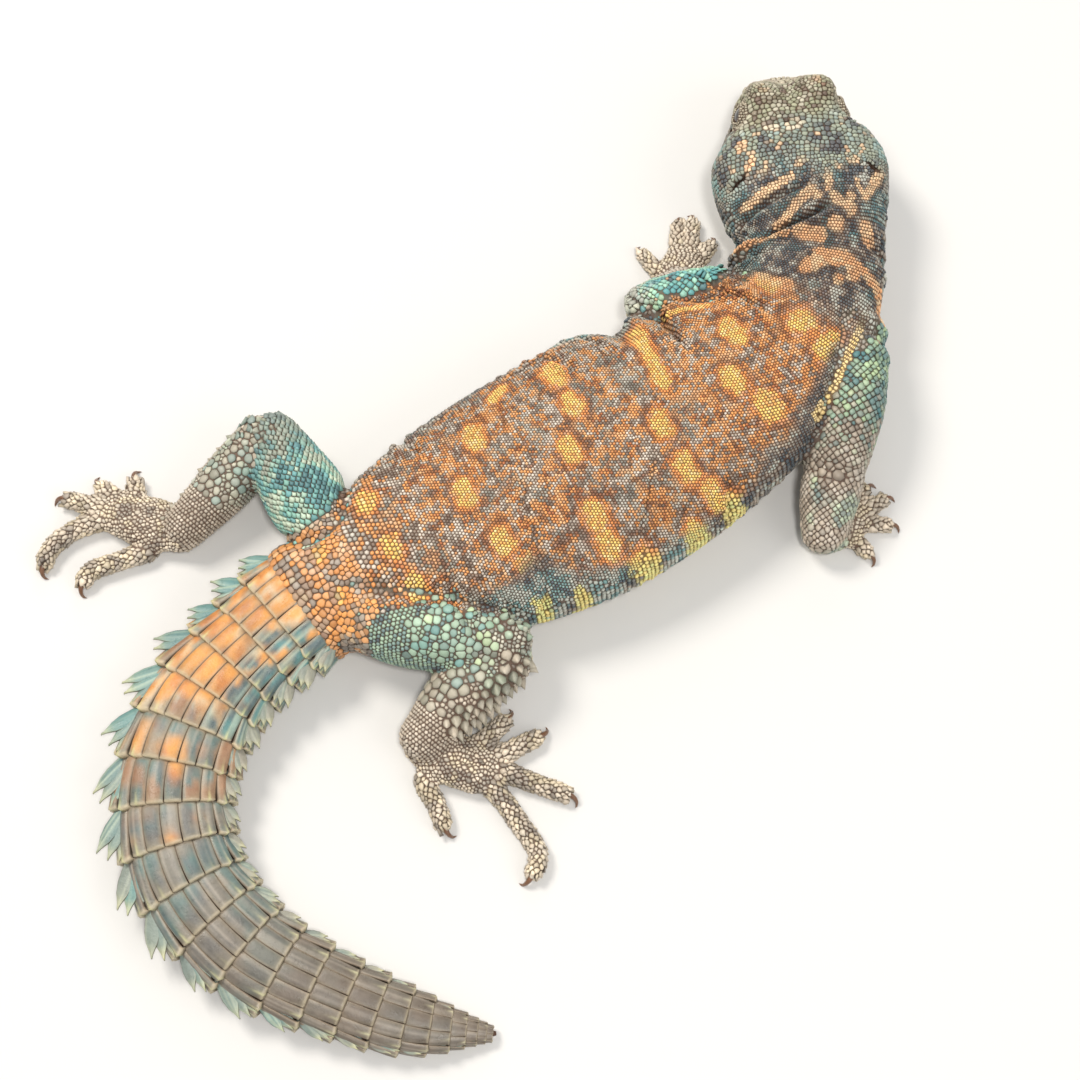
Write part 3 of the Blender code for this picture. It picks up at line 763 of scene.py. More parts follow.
def applied(obj):
    """Replaces an object's mesh by what its modifiers make of it."""
    graph = bpy.context.evaluated_depsgraph_get()
    mesh = bpy.data.meshes.new_from_object(obj.evaluated_get(graph))
    obj.modifiers.clear()
    obj.data = mesh


@functools.lru_cache(maxsize=None)
def hide():
    """The skin as points, faces and a search tree, in mm.

    The body, limbs and digits are each a closed tube. A voxel remesh joins them, smoothing
    fills the corners where they meet, the head and neck are split finer, the folds are pressed
    in along the normals, and the head's small features are shaped last.
    """
    parts = [closed_tube(body(), 0.8, 110, 0.28)]
    parts += [closed_tube(tube, 0.8, 40, 0.26) for tube in limbs().values()]
    parts += [closed_tube(tube, 0.5, 24, 0.06) for tube in paws().values()]
    points, faces, start = [], [], 0
    for part_points, part_faces in parts:
        points.append(part_points)
        faces += [[i + start for i in face] for face in part_faces]
        start += len(part_points)
    points = np.vstack(points)
    trunk = len(parts[0][0])
    run, _, _ = body().find(points[:trunk])
    tail = fade(TAIL_START - 1, TAIL_START + 3, run)
    centre = body().row(run)[0][:, :3]
    points[:trunk] = centre + (points[:trunk] - centre) * (1 - 0.13 * tail)[:, None]
    obj = make_object("skin_draft", points, faces, None, None, metres=False)
    remesh = obj.modifiers.new("join", "REMESH")
    remesh.mode = "VOXEL"
    remesh.voxel_size = sizes().skin_cell
    smooth = obj.modifiers.new("fill corners", "SMOOTH")
    smooth.iterations = 4
    smooth.factor = 0.5
    applied(obj)
    refine(obj, [body().row(np.array([r]))[0][0][:3] for r in (2.0, 12.0, 22.0, 32.0, 42.0)], 19)
    refine(obj, [eye_frame(sign)[0] for sign in (1, -1)], 5.0)
    points, normals, tris = mesh_arrays(obj)
    run, angle, out = body().find(points)
    on_body = fade(1.45, 1.15, out)
    points += normals * (folds(run, angle) * on_body)[:, None]
    for name in ("upper_arm_left", "upper_arm_right", "thigh_left", "thigh_right"):
        tube = limbs()[name]
        gap = (tube.find(points)[2] - 1) * tube.table[:, 3].mean()
        seam = np.exp(-((gap / 1.1) ** 2) - ((out - 1) * BODY_THICKNESS / 1.4) ** 2)
        points -= normals * (LIMB_SEAM_DEPTH * seam)[:, None]
    head = np.linalg.norm(points - body().row(np.array([16.0]))[0][0][:3], axis=1) < 32
    points[head] = shape_head(points[head], normals[head])
    points[:, 2] = np.maximum(points[:, 2], 0.25)
    faces = [tuple(p.vertices) for p in obj.data.polygons]
    bpy.data.objects.remove(obj)
    tree = BVHTree.FromPolygons([Vector(p) for p in points], tris.tolist())
    return points, faces, tree


def settle(points, reach):
    """The nearest place on the skin to each point, the skin's outward direction there, and
    which points had skin within reach."""
    tree = hide()[2]
    found = [tree.find_nearest(Vector(p), reach) for p in points]
    kept = np.array([f[0] is not None for f in found])
    places = np.array([f[0] if f[0] is not None else (0, 0, 0) for f in found])
    normals = np.array([f[1] if f[0] is not None else (0, 0, 1) for f in found])
    return places, normals, kept


def mark_measure(run, across, marks):
    """How far each place lies from the middle of the nearest mark, where 1 is its edge.

    A mark is its half width and the places that its middle line joins, each in mm from the
    snout and mm to the left.
    """
    here = np.column_stack([run, across])
    nearest = np.full(len(run), 9.0)
    for half, *places in marks:
        line = np.array(places * 2 if len(places) == 1 else places, float)
        for first, last in zip(line, line[1:]):
            step = last - first
            share = np.clip((here - first) @ step / max(step @ step, 1e-6), 0, 1)
            far = np.linalg.norm(here - first - share[:, None] * step, axis=1) / half
            nearest = np.minimum(nearest, far)
    return nearest


def ramp(values, *stops):
    """Colours along stops of value and colour, mixed smoothly from each to the next."""
    colour = np.broadcast_to(stops[0][1], (len(values), 3))
    for (low, _), (high, tone) in zip(stops, stops[1:]):
        colour = mix(colour, tone, fade(low, high, values))
    return colour


def back_colours(c, points, run, across, pick):
    """A fine mixture of pale grey and orange scales with brown bars, and eye spots over it."""
    flat = np.column_stack([run, across * 0.55, run * 0])
    cluster = 0.45 * noise(points, 1.15, 3) + 0.25 * noise(points, 4.0, 5) + 0.30 * pick[0]
    shade = 0.62 * noise(points, 1.3, 7) + 0.38 * pick[1]
    grey = ramp(shade, (0.22, c["umber"] * 0.6 + c["stone"] * 0.4), (0.42, c["stone"]), (0.64, c["ash"]))
    warm = ramp(shade, (0.20, c["rust"]), (0.44, c["orange"] * 0.76 + c["yellow"] * 0.12 + c["stone"] * 0.12),
                (0.85, c["orange"] * 0.5 + c["cream"] * 0.5))
    front = fade(104, 72, run)
    colour = mix(grey, warm, fade(0.50, 0.55, cluster + 0.055 * front))
    teal = fade(0.66, 0.74, noise(points, 3.2, 51)) * fade(70, 90, run)
    colour = mix(colour, c["teal"] * 0.5 + c["stone"] * 0.5, teal * 0.3)
    lines = fade(0.085, 0.03, np.abs(noise(flat, 2.3, 11) - 0.5)) * fade(0.3, 0.6, noise(points, 3.0, 13))
    colour = mix(colour, mix(c["umber"], c["rust"] * 0.8, pick[1]), lines * 0.75)
    marks = [
        (half, (along, aside - reach), (along, aside + reach))
        for half, reach, *places in SPOTS.values()
        for along, aside in places
    ]
    near = mark_measure(run, across, (*marks, *FLANK_STREAKS))
    near = near + (noise(points, 1.4, 15) - 0.5) * 0.55 + (pick[2] - 0.5) * 0.30
    # painted shade: the back darkens away from its middle line, where the sides turn away from the light above
    colour = colour * (1 - 0.2 * fade(9, 20, np.abs(across)))[:, None]
    broken = fade(0.35, 0.6, noise(points, 2.6, 17))
    colour = mix(colour, c["umber"] * 0.6 + c["rust"] * 0.4, fade(1.75, 1.4, near) * 0.75 * broken)
    ring = mix(c["orange"], c["rust"], fade(0.75, 0.95, pick[0]) * 0.5)
    ring = mix(ring, c["ash"], fade(0.6, 1.0, pick[1]) * 0.4)
    colour = mix(colour, ring, fade(1.36, 1.08, near) * 0.9)
    heart = mix(c["yellow"], c["cream"], fade(0.6, 0.95, pick[0]) * 0.5)
    heart = mix(heart, c["orange"], fade(0.74, 0.8, pick[3]) * 0.6)
    return mix(colour, heart, fade(0.98, 0.66, near))


def flank_colours(c, points, run, across, pick):
    """Slate and blue-green sides with lemon patches."""
    shade = 0.6 * noise(points, 2.0, 19) + 0.4 * pick[0]
    colour = ramp(shade, (0.22, c["slate"] * 0.75), (0.42, c["slate"] * 0.6 + c["stone"] * 0.35),
                  (0.6, c["stone"]), (0.8, c["teal"] * 0.4 + c["ash"] * 0.6))
    teal = mark_measure(run, across, TEAL_PATCHES) + (noise(points, 1.8, 21) - 0.5) * 0.7
    green = ramp(shade, (0.22, c["slate"]), (0.42, c["teal"] * 0.75 + c["stone"] * 0.25),
                 (0.62, c["teal"] * 0.3 + c["ash"] * 0.65))
    colour = mix(colour, green, fade(1.5, 0.9, teal) * 0.85)
    lemon = mark_measure(run, across, FLANK_STREAKS) + (noise(points, 1.5, 23) - 0.5) * 1.3
    lemon = lemon + (pick[2] - 0.5) * 0.35
    tone = mix(c["lemon"], c["yellow"], pick[1] * 0.7)
    return mix(colour, tone, fade(1.4, 0.85, lemon) * 0.9)


def neck_colours(c, points, run, across, pick):
    """Dark slate with pale specks, and streaks of peach and orange."""
    shade = 0.68 * noise(points, 1.5, 25) + 0.32 * pick[2]
    base = ramp(shade, (0.2, c["slate"] * 0.5), (0.42, c["slate"] * 0.85 + c["stone"] * 0.1),
                (0.54, c["stone"] * 0.88), (0.7, c["teal"] * 0.25 + c["ash"] * 0.68))
    base = mix(base, c["teal"] * 0.8, fade(0.55, 0.72, noise(points, 2.8, 27)) * 0.35)
    near = mark_measure(run, across, NECK_MARKS)
    near = near + (noise(points, 1.1, 29) - 0.5) * 0.55 + (noise(points, 2.6, 65) - 0.5) * 0.5
    tone = mix(mix(c["peach"], c["cream"], 0.25 + 0.45 * pick[0]), c["orange"], fade(36, 46, run) * 0.5)
    base = mix(base, c["umber"] * 0.55, fade(1.75, 1.35, near) * 0.5)
    tone = mix(tone, base, fade(0.55, 0.8, pick[3]) * 0.3)
    tone = mix(tone, c["cream"], fade(0.52, 0.72, noise(points, 1.3, 81)) * fade(38, 46, run) * 0.55)
    return mix(base, tone * 0.94, fade(1.18, 0.74, near))


def head_colours(c, points, run, across, top, pick):
    """An olive crown with dark seams, rounder blue-green scales behind, and a few flecks."""
    shade = 0.5 * noise(points, 1.7, 31) + 0.5 * pick[0]
    crown = ramp(shade, (0.24, c["umber"] * 0.4 + c["stone"] * 0.5), (0.44, c["olive"]),
                 (0.8, c["olive"] * 0.5 + c["ash"] * 0.5))
    calm = 0.66 * noise(points, 2.6, 67) + 0.34 * pick[0]
    temple = ramp(calm, (0.24, c["slate"] * 0.7 + c["umber"] * 0.3), (0.42, c["teal"] * 0.3 + c["stone"] * 0.55),
                  (0.62, c["jade"] * 0.25 + c["stone"] * 0.65), (0.85, c["teal"] * 0.5 + c["ash"] * 0.4))
    colour = mix(crown, temple, fade(14, 21, run + (noise(points, 5.0, 33) - 0.5) * 9))
    colour = mix(colour, c["sand"] * 0.85, fade(8, 2, run) * 0.5)
    colour = mix(colour, c["orange"] * 0.55 + c["stone"] * 0.4,
                 fade(0.9, 0.2, mark_measure(run, across, BROW_DOMES)) * fade(0.4, 0.7, noise(points, 1.4, 69)) * 0.4)
    dome = mark_measure(run, across, BROW_DOMES)
    # painted shade in the hollow round each brow dome
    valley = np.exp(-(((dome - 1.25) / 0.25) ** 2)) * fade(4, 7, run) * fade(50, 30, top)
    colour = mix(colour, c["umber"] * 0.9, valley * 0.55)
    flecks = fade(0.67, 0.74, 0.7 * noise(points, 1.9, 35) + 0.3 * pick[1]) * 0.7
    marks = fade(1.2, 0.9, mark_measure(run, across, CHEEK_MARKS))
    warm = np.maximum(flecks * fade(16, 21, run) * fade(84, 66, top), marks)
    colour = mix(colour, mix(c["peach"], c["cream"], 0.1 + pick[2] * 0.5), warm * 0.85)
    pale = fade(1.3, 0.7, mark_measure(run, across, PALE_FLECKS) + (pick[2] - 0.5) * 0.8)
    colour = mix(colour, c["ash"] * 0.6 + c["cream"] * 0.4, pale * 0.8)
    # painted shade in the crown's small pits, which the mesh does not hollow
    colour = mix(colour, c["umber"] * 0.6, fade(1.3, 0.8, mark_measure(run, across, CROWN_PITS)))
    cheek = ramp(calm, (0.25, c["slate"] * 0.8), (0.45, c["stone"] * 0.9), (0.75, c["teal"] * 0.8 + c["ash"] * 0.2))
    return mix(colour, cheek * 0.77, fade(46, 70, top) * fade(6, 14, run) * 0.85)


def markings(points, run, angle, rng):
    """Colours of the head, neck, trunk and tail skin for points on the body."""
    c = palette()
    row, _ = body().row(run)
    across = ((points - row[:, :3]) * row[:, 9:12]).sum(1)
    top = np.abs(degrees_from(angle, 90))
    pick = rng.random((4, len(points)))
    patch = noise(points, 7.0, 5)
    colour = back_colours(c, points, run, across, pick)
    band = 24 * np.exp(-(((run - 66) / 15) ** 2)) + 30 * np.exp(-(((run - 131) / 11) ** 2))
    band = band * fade(0, -5, across)
    low = fade(60, 74, top + band + (patch - 0.5) * 22) * fade(20, 30, run)
    colour = mix(colour, flank_colours(c, points, run, across, pick), low)
    stripe = mark_measure(run, across, SHOULDER_STRIPE) + (noise(points, 1.2, 63) - 0.5) * 0.4
    colour = mix(colour, mix(c["yellow"], c["cream"], 0.3 + pick[0] * 0.4), fade(1.3, 0.9, stripe))
    neck = neck_colours(c, points, run, across, pick)
    grey = 0.5 * fade(3, -6, across) + 0.5
    colour = mix(colour, neck, fade(58 + 4 * grey, 50 + 4 * grey, run + (patch - 0.5) * 8))
    # painted shade: the colour darkens in the creases of the loose skin, by their depth
    crease = fade(0.25, 1.6, -folds(run, angle)) * fade(26, 32, run) * fade(100, 80, run)
    colour = colour * (1 - 0.5 * crease)[:, None]
    head = head_colours(c, points, run, across, top, pick)
    colour = mix(colour, head, fade(31, 26, run + (patch - 0.5) * 6 - 3 * fade(40, 70, top)))
    under = mix(mix(c["cream"], c["ash"], 0.5), c["slate"], fade(40, 30, run) * 0.5)
    colour = mix(colour, under, fade(108, 126, top + (patch - 0.5) * 14))
    tail = mix(c["umber"], c["stone"], 0.4)
    return mix(colour, tail, fade(TAIL_START, TAIL_START + 4, run))


def arm_colours(c, name, share, points, pick):
    """Blue-green tiles that fade to beige towards the elbow."""
    shade = 0.58 * noise(points, 2.6, 41) + 0.42 * pick[0]
    if name == "upper_arm_left":
        bright = ramp(shade, (0.15, c["slate"]), (0.36, c["teal"] * 1.15), (0.62, c["teal"] * 0.4 + c["jade"] * 0.8),
                      (0.86, c["jade"] * 0.8 + c["lemon"] * 0.3))
        bright = mix(bright, c["orange"], fade(0.97, 0.975, pick[1]) * fade(0.4, 0.6, share) * 0.6)
        return mix(bright * 0.96, c["ash"] * 0.8, fade(0.78, 1.1, share + (pick[1] - 0.5) * 0.2) * 0.8)
    green = ramp(shade, (0.2, c["teal"] * 0.6 + c["slate"] * 0.3), (0.42, c["teal"] * 0.6 + c["stone"] * 0.35),
                 (0.62, c["jade"] * 0.6 + c["stone"] * 0.3), (0.85, c["jade"] * 0.55 + c["lemon"] * 0.4))
    beige = ramp(shade, (0.2, c["stone"] * 0.85), (0.5, c["stone"] * 0.5 + c["sand"] * 0.45), (0.8, c["ash"] * 0.85))
    if name == "forearm_left":
        bright = ramp(shade, (0.2, c["slate"]), (0.42, c["teal"]), (0.7, c["jade"] * 0.7 + c["stone"] * 0.3))
        return mix(bright, c["ash"] * 0.8, fade(-0.25, 0.15, share + (pick[1] - 0.5) * 0.3))
    if name.startswith("forearm"):
        hint = fade(0.5, 0.7, noise(points, 3.4, 43)) * 0.6
        return mix(beige, green, hint)
    return mix(green, beige, fade(0.5, 1.0, share + (pick[1] - 0.5) * 0.5)) * 0.84


def leg_colours(c, name, share, points, pick):
    """Grey and blue-green thighs, paler shanks."""
    shade = 0.5 * noise(points, 2.2, 45) + 0.5 * pick[0]
    dull = ramp(shade, (0.15, c["slate"]), (0.36, c["teal"] * 0.55 + c["stone"] * 0.45),
                (0.65, c["jade"] * 0.6 + c["stone"] * 0.4))
    grey = ramp(shade, (0.15, c["umber"] * 0.4 + c["stone"] * 0.6), (0.4, c["stone"]), (0.75, c["ash"]))
    if name == "thigh_left":
        calm = 0.68 * noise(points, 2.6, 77) + 0.32 * pick[0]
        bright = ramp(calm, (0.25, c["slate"] * 0.5 + c["teal"] * 0.45), (0.40, c["teal"] * 0.95 + c["ash"] * 0.08),
                      (0.52, c["teal"] * 0.5 + c["jade"] * 0.5), (0.66, c["jade"] * 0.55 + c["ash"] * 0.5))
        return mix(bright, c["stone"] * 0.75 + c["teal"] * 0.2, fade(0.5, 1.0, share + (calm - 0.5)) * 0.75)
    if name.startswith("thigh"):
        return mix(dull, grey, fade(0.6, 1.0, share) * 0.75)
    warm = mix(grey, c["sand"] * 0.9, 0.3 + 0.4 * pick[1]) * (0.92 if name == "shank_left" else 1.0)
    return mix(warm, dull, fade(0.45, 0.7, noise(points, 3.0, 47)) * fade(0.8, 0.2, share) * 0.7)


def limb_colours(name, points, run, angle, rng):
    """Colours of an arm, leg, hand or foot for points on it."""
    c = palette()
    pick = rng.random((2, len(points)))
    below = fade(-10, -60, np.degrees(np.arcsin(np.clip(np.sin(angle), -1, 1))))
    if name in LIMBS:
        share = run / limbs()[name].length
        shades = arm_colours if "arm" in name else leg_colours
        colour = shades(c, name, share, points, pick)
    else:
        shade = 0.5 * noise(points, 1.8, 49) + 0.5 * pick[0]
        colour = ramp(shade, (0.12, c["stone"]), (0.34, c["sand"] * 0.97), (0.75, c["ash"] * 0.85 + c["cream"] * 0.15))
        dark = fade(0.56, 0.66, noise(points, 2.3, 41)) * (0.6 if name.startswith("foot") else 0.1)
        colour = mix(colour, c["umber"] * 0.3 + c["slate"] * 0.4 + c["stone"] * 0.3, dark)
        colour = mix(colour, c["cream"], fade(0.58, 0.68, noise(points, 1.6, 53)) * 0.35)
    return mix(colour, mix(c["cream"], c["ash"], 0.4), below * 0.7)


def skin_colours(points):
    """Colours and places on the unwrap for any points on the skin: each takes those of the
    tube it lies on."""
    rng = np.random.default_rng(71)
    named = {"body": body(), **limbs()}
    named.update({f"{paw} {part}": tube for (paw, part), tube in paws().items()})
    best = np.full(len(points), 1e9)
    colours, bakes = np.zeros((len(points), 3)), np.zeros((len(points), 2))
    for name, tube in named.items():
        row = tube.table
        low, high = row[:, :3].min(0) - 27, row[:, :3].max(0) + 27
        near = ((points > low) & (points < high)).all(1)
        run, angle, out = tube.find(points[near])
        score = np.abs(out - 1) * row[:, 3].mean() + (0 if name == "body" else 0.2)
        better = score < best[near]
        chosen = np.flatnonzero(near)[better]
        best[chosen] = score[better]
        args = points[chosen], run[better], angle[better], rng
        colours[chosen] = markings(*args) if name == "body" else limb_colours(name, *args)
        bakes[chosen] = unwrap(tube, *args[1:3])
    return colours, bakes


def scale_shape(sides, first, rings):
    """A scale's shape about its root, for a given number of directions round it.

    Each ring is a share of the scale's reach in every direction, a height and a rim value, 1 at
    the edge. The rings close on a middle point of height 1 and on the flat underside. Direction
    0 stands first steps round from the scale's own right, and a quarter turn on is its rear.
    """
    rows = [(k, share, height, rim) for share, height, rim in rings for k in range(sides)]
    rows.append((0, 0.0, 1.0, 0.0))
    direction, share, height, rim = np.array(rows).T
    faces = []
    for ring in range(len(rings) - 1):
        here, inner = ring * sides, (ring + 1) * sides
        for i in range(sides):
            j = (i + 1) % sides
            faces += [(here + i, here + j, inner + j), (here + i, inner + j, inner + i)]
    here, middle = (len(rings) - 1) * sides, len(rows) - 1
    faces += [(here + i, here + (i + 1) % sides, middle) for i in range(sides)]
    faces += [(0, i + 1, i) for i in range(1, sides - 1)]
    return {
        "turn": (np.arange(sides) + first) / sides * 2 * math.pi, "direction": direction.astype(int),
        "share": share, "height": height, "rim": rim, "faces": np.array(faces),
    }


GRANULE = scale_shape(6, 0.5, ((1.0, -0.3, 1.0), (0.74, 0.66, 0.35)))
TILE = scale_shape(8, 0.0, ((1.0, -0.3, 1.0), (0.86, 0.7, 0.4)))
PLATE = scale_shape(10, 0.5, ((1.0, -0.3, 1.0), (0.9, 0.5, 0.55), (0.62, 0.9, 0.05)))
KNOB = scale_shape(12, 0.5, ((1.0, -0.3, 1.0), (0.9, 0.48, 0.55), (0.55, 0.88, 0.05)))
SPIKE = scale_shape(8, 0.5, ((1.0, -0.2, 1.0), (0.76, 0.22, 0.4), (0.40, 0.60, 0.1)))

# Each piece of the coat: its shape and the name of a material slot
PIECES = {
    "leg_knobs": (KNOB, "limb_skin"),
    "leg_spikes": (SPIKE, "limb_skin"),
    "eyelid_scales": (GRANULE, "head_skin"),
    "lip_scales": (PLATE, "head_skin"),
    "head_scales": (PLATE, "head_skin"),
    "back_scales": (GRANULE, "back_skin"),
    "rump_scales": (PLATE, "back_skin"),
    "belly_scales": (TILE, "back_skin"),
    "crease_scales": (GRANULE, "limb_skin"),
    "arm_scales": (TILE, "limb_skin"),
    "leg_scales": (GRANULE, "limb_skin"),
    "paw_scales": (GRANULE, "paw_skin"),
    "digit_plates": (TILE, "paw_skin"),
}


def cast_roots(tube, run, angle, width, lift=0.0, reach=1.9):
    """Scale roots of a tube set on the skin, with those that lie inside another part left out."""
    out, back, stretch = tube.facing(run, angle)
    points = tube.point(run, angle) + out * np.broadcast_to(lift, len(run))[:, None]
    places, normals, kept = settle(points, reach)
    kept = kept & ((normals * out).sum(1) > 0.3)
    outward = unit(normals + out * 0.3)[kept]
    back = back[kept]
    back = unit(back - outward * (back * outward).sum(1, keepdims=True))
    return {
        "at": places[kept], "out": outward, "back": back, "run": run[kept], "angle": angle[kept],
        "width": width[kept], "stretch": np.clip(stretch[kept], 0.5, 1.7),
    }


def patch_of(piece, roots, tint, bake, rng, **values):
    """One patch of a piece of the coat, with each scale's size, height and lie.

    Height is a share of the width and grip a share of half the width: it sets how much ground a
    scale takes from its neighbours. Rear draws the back end out, point narrows it, tilt lifts it
    and lean shifts the top backwards. Shade and vary are how much tints and sizes differ.
    """
    chosen = {"height": 0.26, "grip": 1.0, "rear": 0.0, "point": 0.0, "tilt": 0.0, "lean": 0.0,
              "shade": 0.1, "vary": 0.1, "limit": 0.78}
    chosen.update(values)
    count = len(roots["at"])
    vary = 1 + rng.normal(0, chosen["vary"], (2, count))
    patch = {key: np.full(count, chosen[key]) for key in ("rear", "point", "tilt", "lean")}
    patch.update({key: roots[key] for key in ("at", "out", "back", "width")})
    patch["grip"] = roots["width"] / 2 * chosen["grip"] * vary[0]
    patch["height"] = roots["width"] * chosen["height"] * vary[1]
    patch["limit"] = roots["width"] * chosen["limit"] * np.maximum(roots["stretch"], 1)
    patch["tint"] = tint * (1 + rng.normal(0, chosen["shade"], (count, 1)))
    patch["bake"] = bake
    patch["piece"] = np.full(count, list(PIECES).index(piece))
    return patch


def near_roots(points):
    """For each scale root, the numbers of the nearest roots, itself among them."""
    tree = KDTree(len(points))
    rows = points.tolist()
    for number, point in enumerate(rows):
        tree.insert(point, number)
    tree.balance()
    return np.array([[hit[1] for hit in tree.find_n(point, NEIGHBOURS)] for point in rows])


def free_roots(pool, near):
    """Which roots stay: none so close to a kept root of an earlier patch that both can't fit.

    Two circles of half widths s < k have room for both from (s + sqrt(4 k k - 3 s s)) / 2 apart.
    """
    order, half = pool["order"], pool["width"] / 2
    apart = np.linalg.norm(pool["at"][near] - pool["at"][:, None], axis=2)
    small = np.minimum(half[near], half[:, None])
    large = np.maximum(half[near], half[:, None])
    room = (small + np.sqrt(4 * large**2 - 3 * small**2)) / 2 * 1.1
    clash = (apart < room) & (order[near] < order[:, None])
    kept = np.ones(len(order), bool)
    for number in range(order.max() + 1):
        own = order == number
        kept[own] = ~(clash[own] & kept[near[own]]).any(1)
    return kept


def reaches(pool, near, turn):
    """How far each scale may grow in each direction before it meets a neighbour.

    The border with a neighbour at offset d stands, along a direction u, at
    (d.d + own grip squared - its grip squared) / (2 d.u), and the nearest border counts.
    """
    out, back = pool["out"], pool["back"]
    across = np.cross(back, out)
    offset = pool["at"][near] - pool["at"][:, None]
    x = (offset * across[:, None]).sum(2)
    y = (offset * back[:, None]).sum(2)
    same_side = (out[near] * out[:, None]).sum(2) > 0.1
    gain = (offset**2).sum(2) + pool["grip"][:, None] ** 2 - pool["grip"][near] ** 2
    found = np.empty((len(out), len(turn)))
    for number, angle in enumerate(turn):
        toward = x * math.cos(angle) + y * math.sin(angle)
        border = gain / (2 * np.maximum(toward, 0.02))
        border = np.where((toward > 0.02) & same_side, border, 99.0)
        found[:, number] = np.minimum(border.min(1), pool["limit"])
    return np.maximum(found * 0.965 - 0.012, 0.14 * pool["width"][:, None])


@functools.lru_cache(maxsize=None)
def coat():
    """Every scale of the animal by piece, each grown until it meets its neighbours."""
    rng = np.random.default_rng(101)
    patches = [
        *leg_ornaments(rng), *lid_patches(rng), lip_patch(rng), head_patch(rng),
        rump_patch(rng), *back_patches(rng), belly_patch(rng), *limb_patches(rng), *paw_patches(rng),
    ]
    for number, patch in enumerate(patches):
        patch["order"] = np.full(len(patch["at"]), number)
    patches.append(bare_patch(patches, rng))
    pool = {key: np.concatenate([patch[key] for patch in patches]) for key in patches[0]}
    kept = free_roots(pool, near_roots(pool["at"]))
    pool = {key: value[kept] for key, value in pool.items()}
    near = near_roots(pool["at"])
    found = {}
    for number, (piece, (shape, _)) in enumerate(PIECES.items()):
        own = pool["piece"] == number
        found[piece] = {key: value[own] for key, value in pool.items()}
        found[piece]["reach"] = reaches(pool, near, shape["turn"])[own]
    return found


def plant(name, material):
    """Builds a piece of the coat as joined meshes of at most PIECE_LIMIT triangles each.

    A point stands at root + across * x + back * y + out * z, where x and y are its direction
    times the scale's reach there, and z is its height plus the tilt of the rear.
    """
    shape, slot = PIECES[name]
    roots = coat()[name]
    direction, share, faces = shape["direction"], shape["share"], shape["faces"]
    count, size = len(roots["at"]), len(share)
    pieces = math.ceil(count / (PIECE_LIMIT // len(faces)))
    order = np.argsort(roots["bake"][:, 0], kind="stable")
    sine, cosine = np.sin(shape["turn"])[direction], np.cos(shape["turn"])[direction]
    behind = np.clip(sine, 0, None) * (share > 0)
    raised = (shape["rim"] < 1) * 1.0
    for number in range(pieces):
        chosen = order[number * count // pieces : (number + 1) * count // pieces]
        part = {key: value[chosen] for key, value in roots.items()}
        reach = part["reach"][:, direction] * share
        x = reach * cosine * (1 - part["point"][:, None] * behind**1.5)
        y = reach * sine * (1 + part["rear"][:, None] * behind)
        z = part["height"][:, None] * shape["height"]
        z = z + part["tilt"][:, None] * np.clip(y + 0.2 * part["width"][:, None], 0, None) * raised
        y = y + part["lean"][:, None] * part["height"][:, None] * np.clip(shape["height"], 0, None) ** 1.5
        out, back = part["out"], part["back"]
        across = np.cross(back, out)
        points = part["at"][:, None] + x[..., None] * across[:, None]
        points = points + y[..., None] * back[:, None] + z[..., None] * out[:, None]
        all_faces = (faces[None] + (np.arange(len(chosen)) * size)[:, None, None]).reshape(-1, 3)
        suffix = "" if pieces == 1 else f"_{number + 1}"
        obj = make_object(name + suffix, points.reshape(-1, 3), all_faces, slot, material)
        # painted highlight and painted shade: each scale's tint is brightened towards its middle and darkened towards
        # its rim
        painted_highlight_and_shade = 1.10 - 0.26 * np.sqrt(shape["rim"])
        tint = (part["tint"][:, None] * painted_highlight_and_shade[:, None] + 0.035 * (painted_highlight_and_shade[:, None] - 0.84)).reshape(-1, 3)
        write_attribute(obj, "tint", "FLOAT_COLOR", with_alpha(tint))
        write_attribute(obj, "rim", "FLOAT", np.tile(shape["rim"], len(chosen)))
        local = np.column_stack([share * cosine, share * sine]) * BAKE_PATCH / 2
        corners = (part["bake"][:, None] * 0.98 + 0.01 + local[None])[:, faces.ravel(), :]
        uv = obj.data.uv_layers.new(name="OFBake")
        uv.data.foreach_set("uv", np.ascontiguousarray(corners, np.float32).ravel())


# Materials


def add_node(tree, kind, **inputs):
    """A shader node with some of its inputs set."""
    node = tree.nodes.new(kind)
    for key, value in inputs.items():
        node.inputs[key.replace("_", " ")].default_value = value
    return node


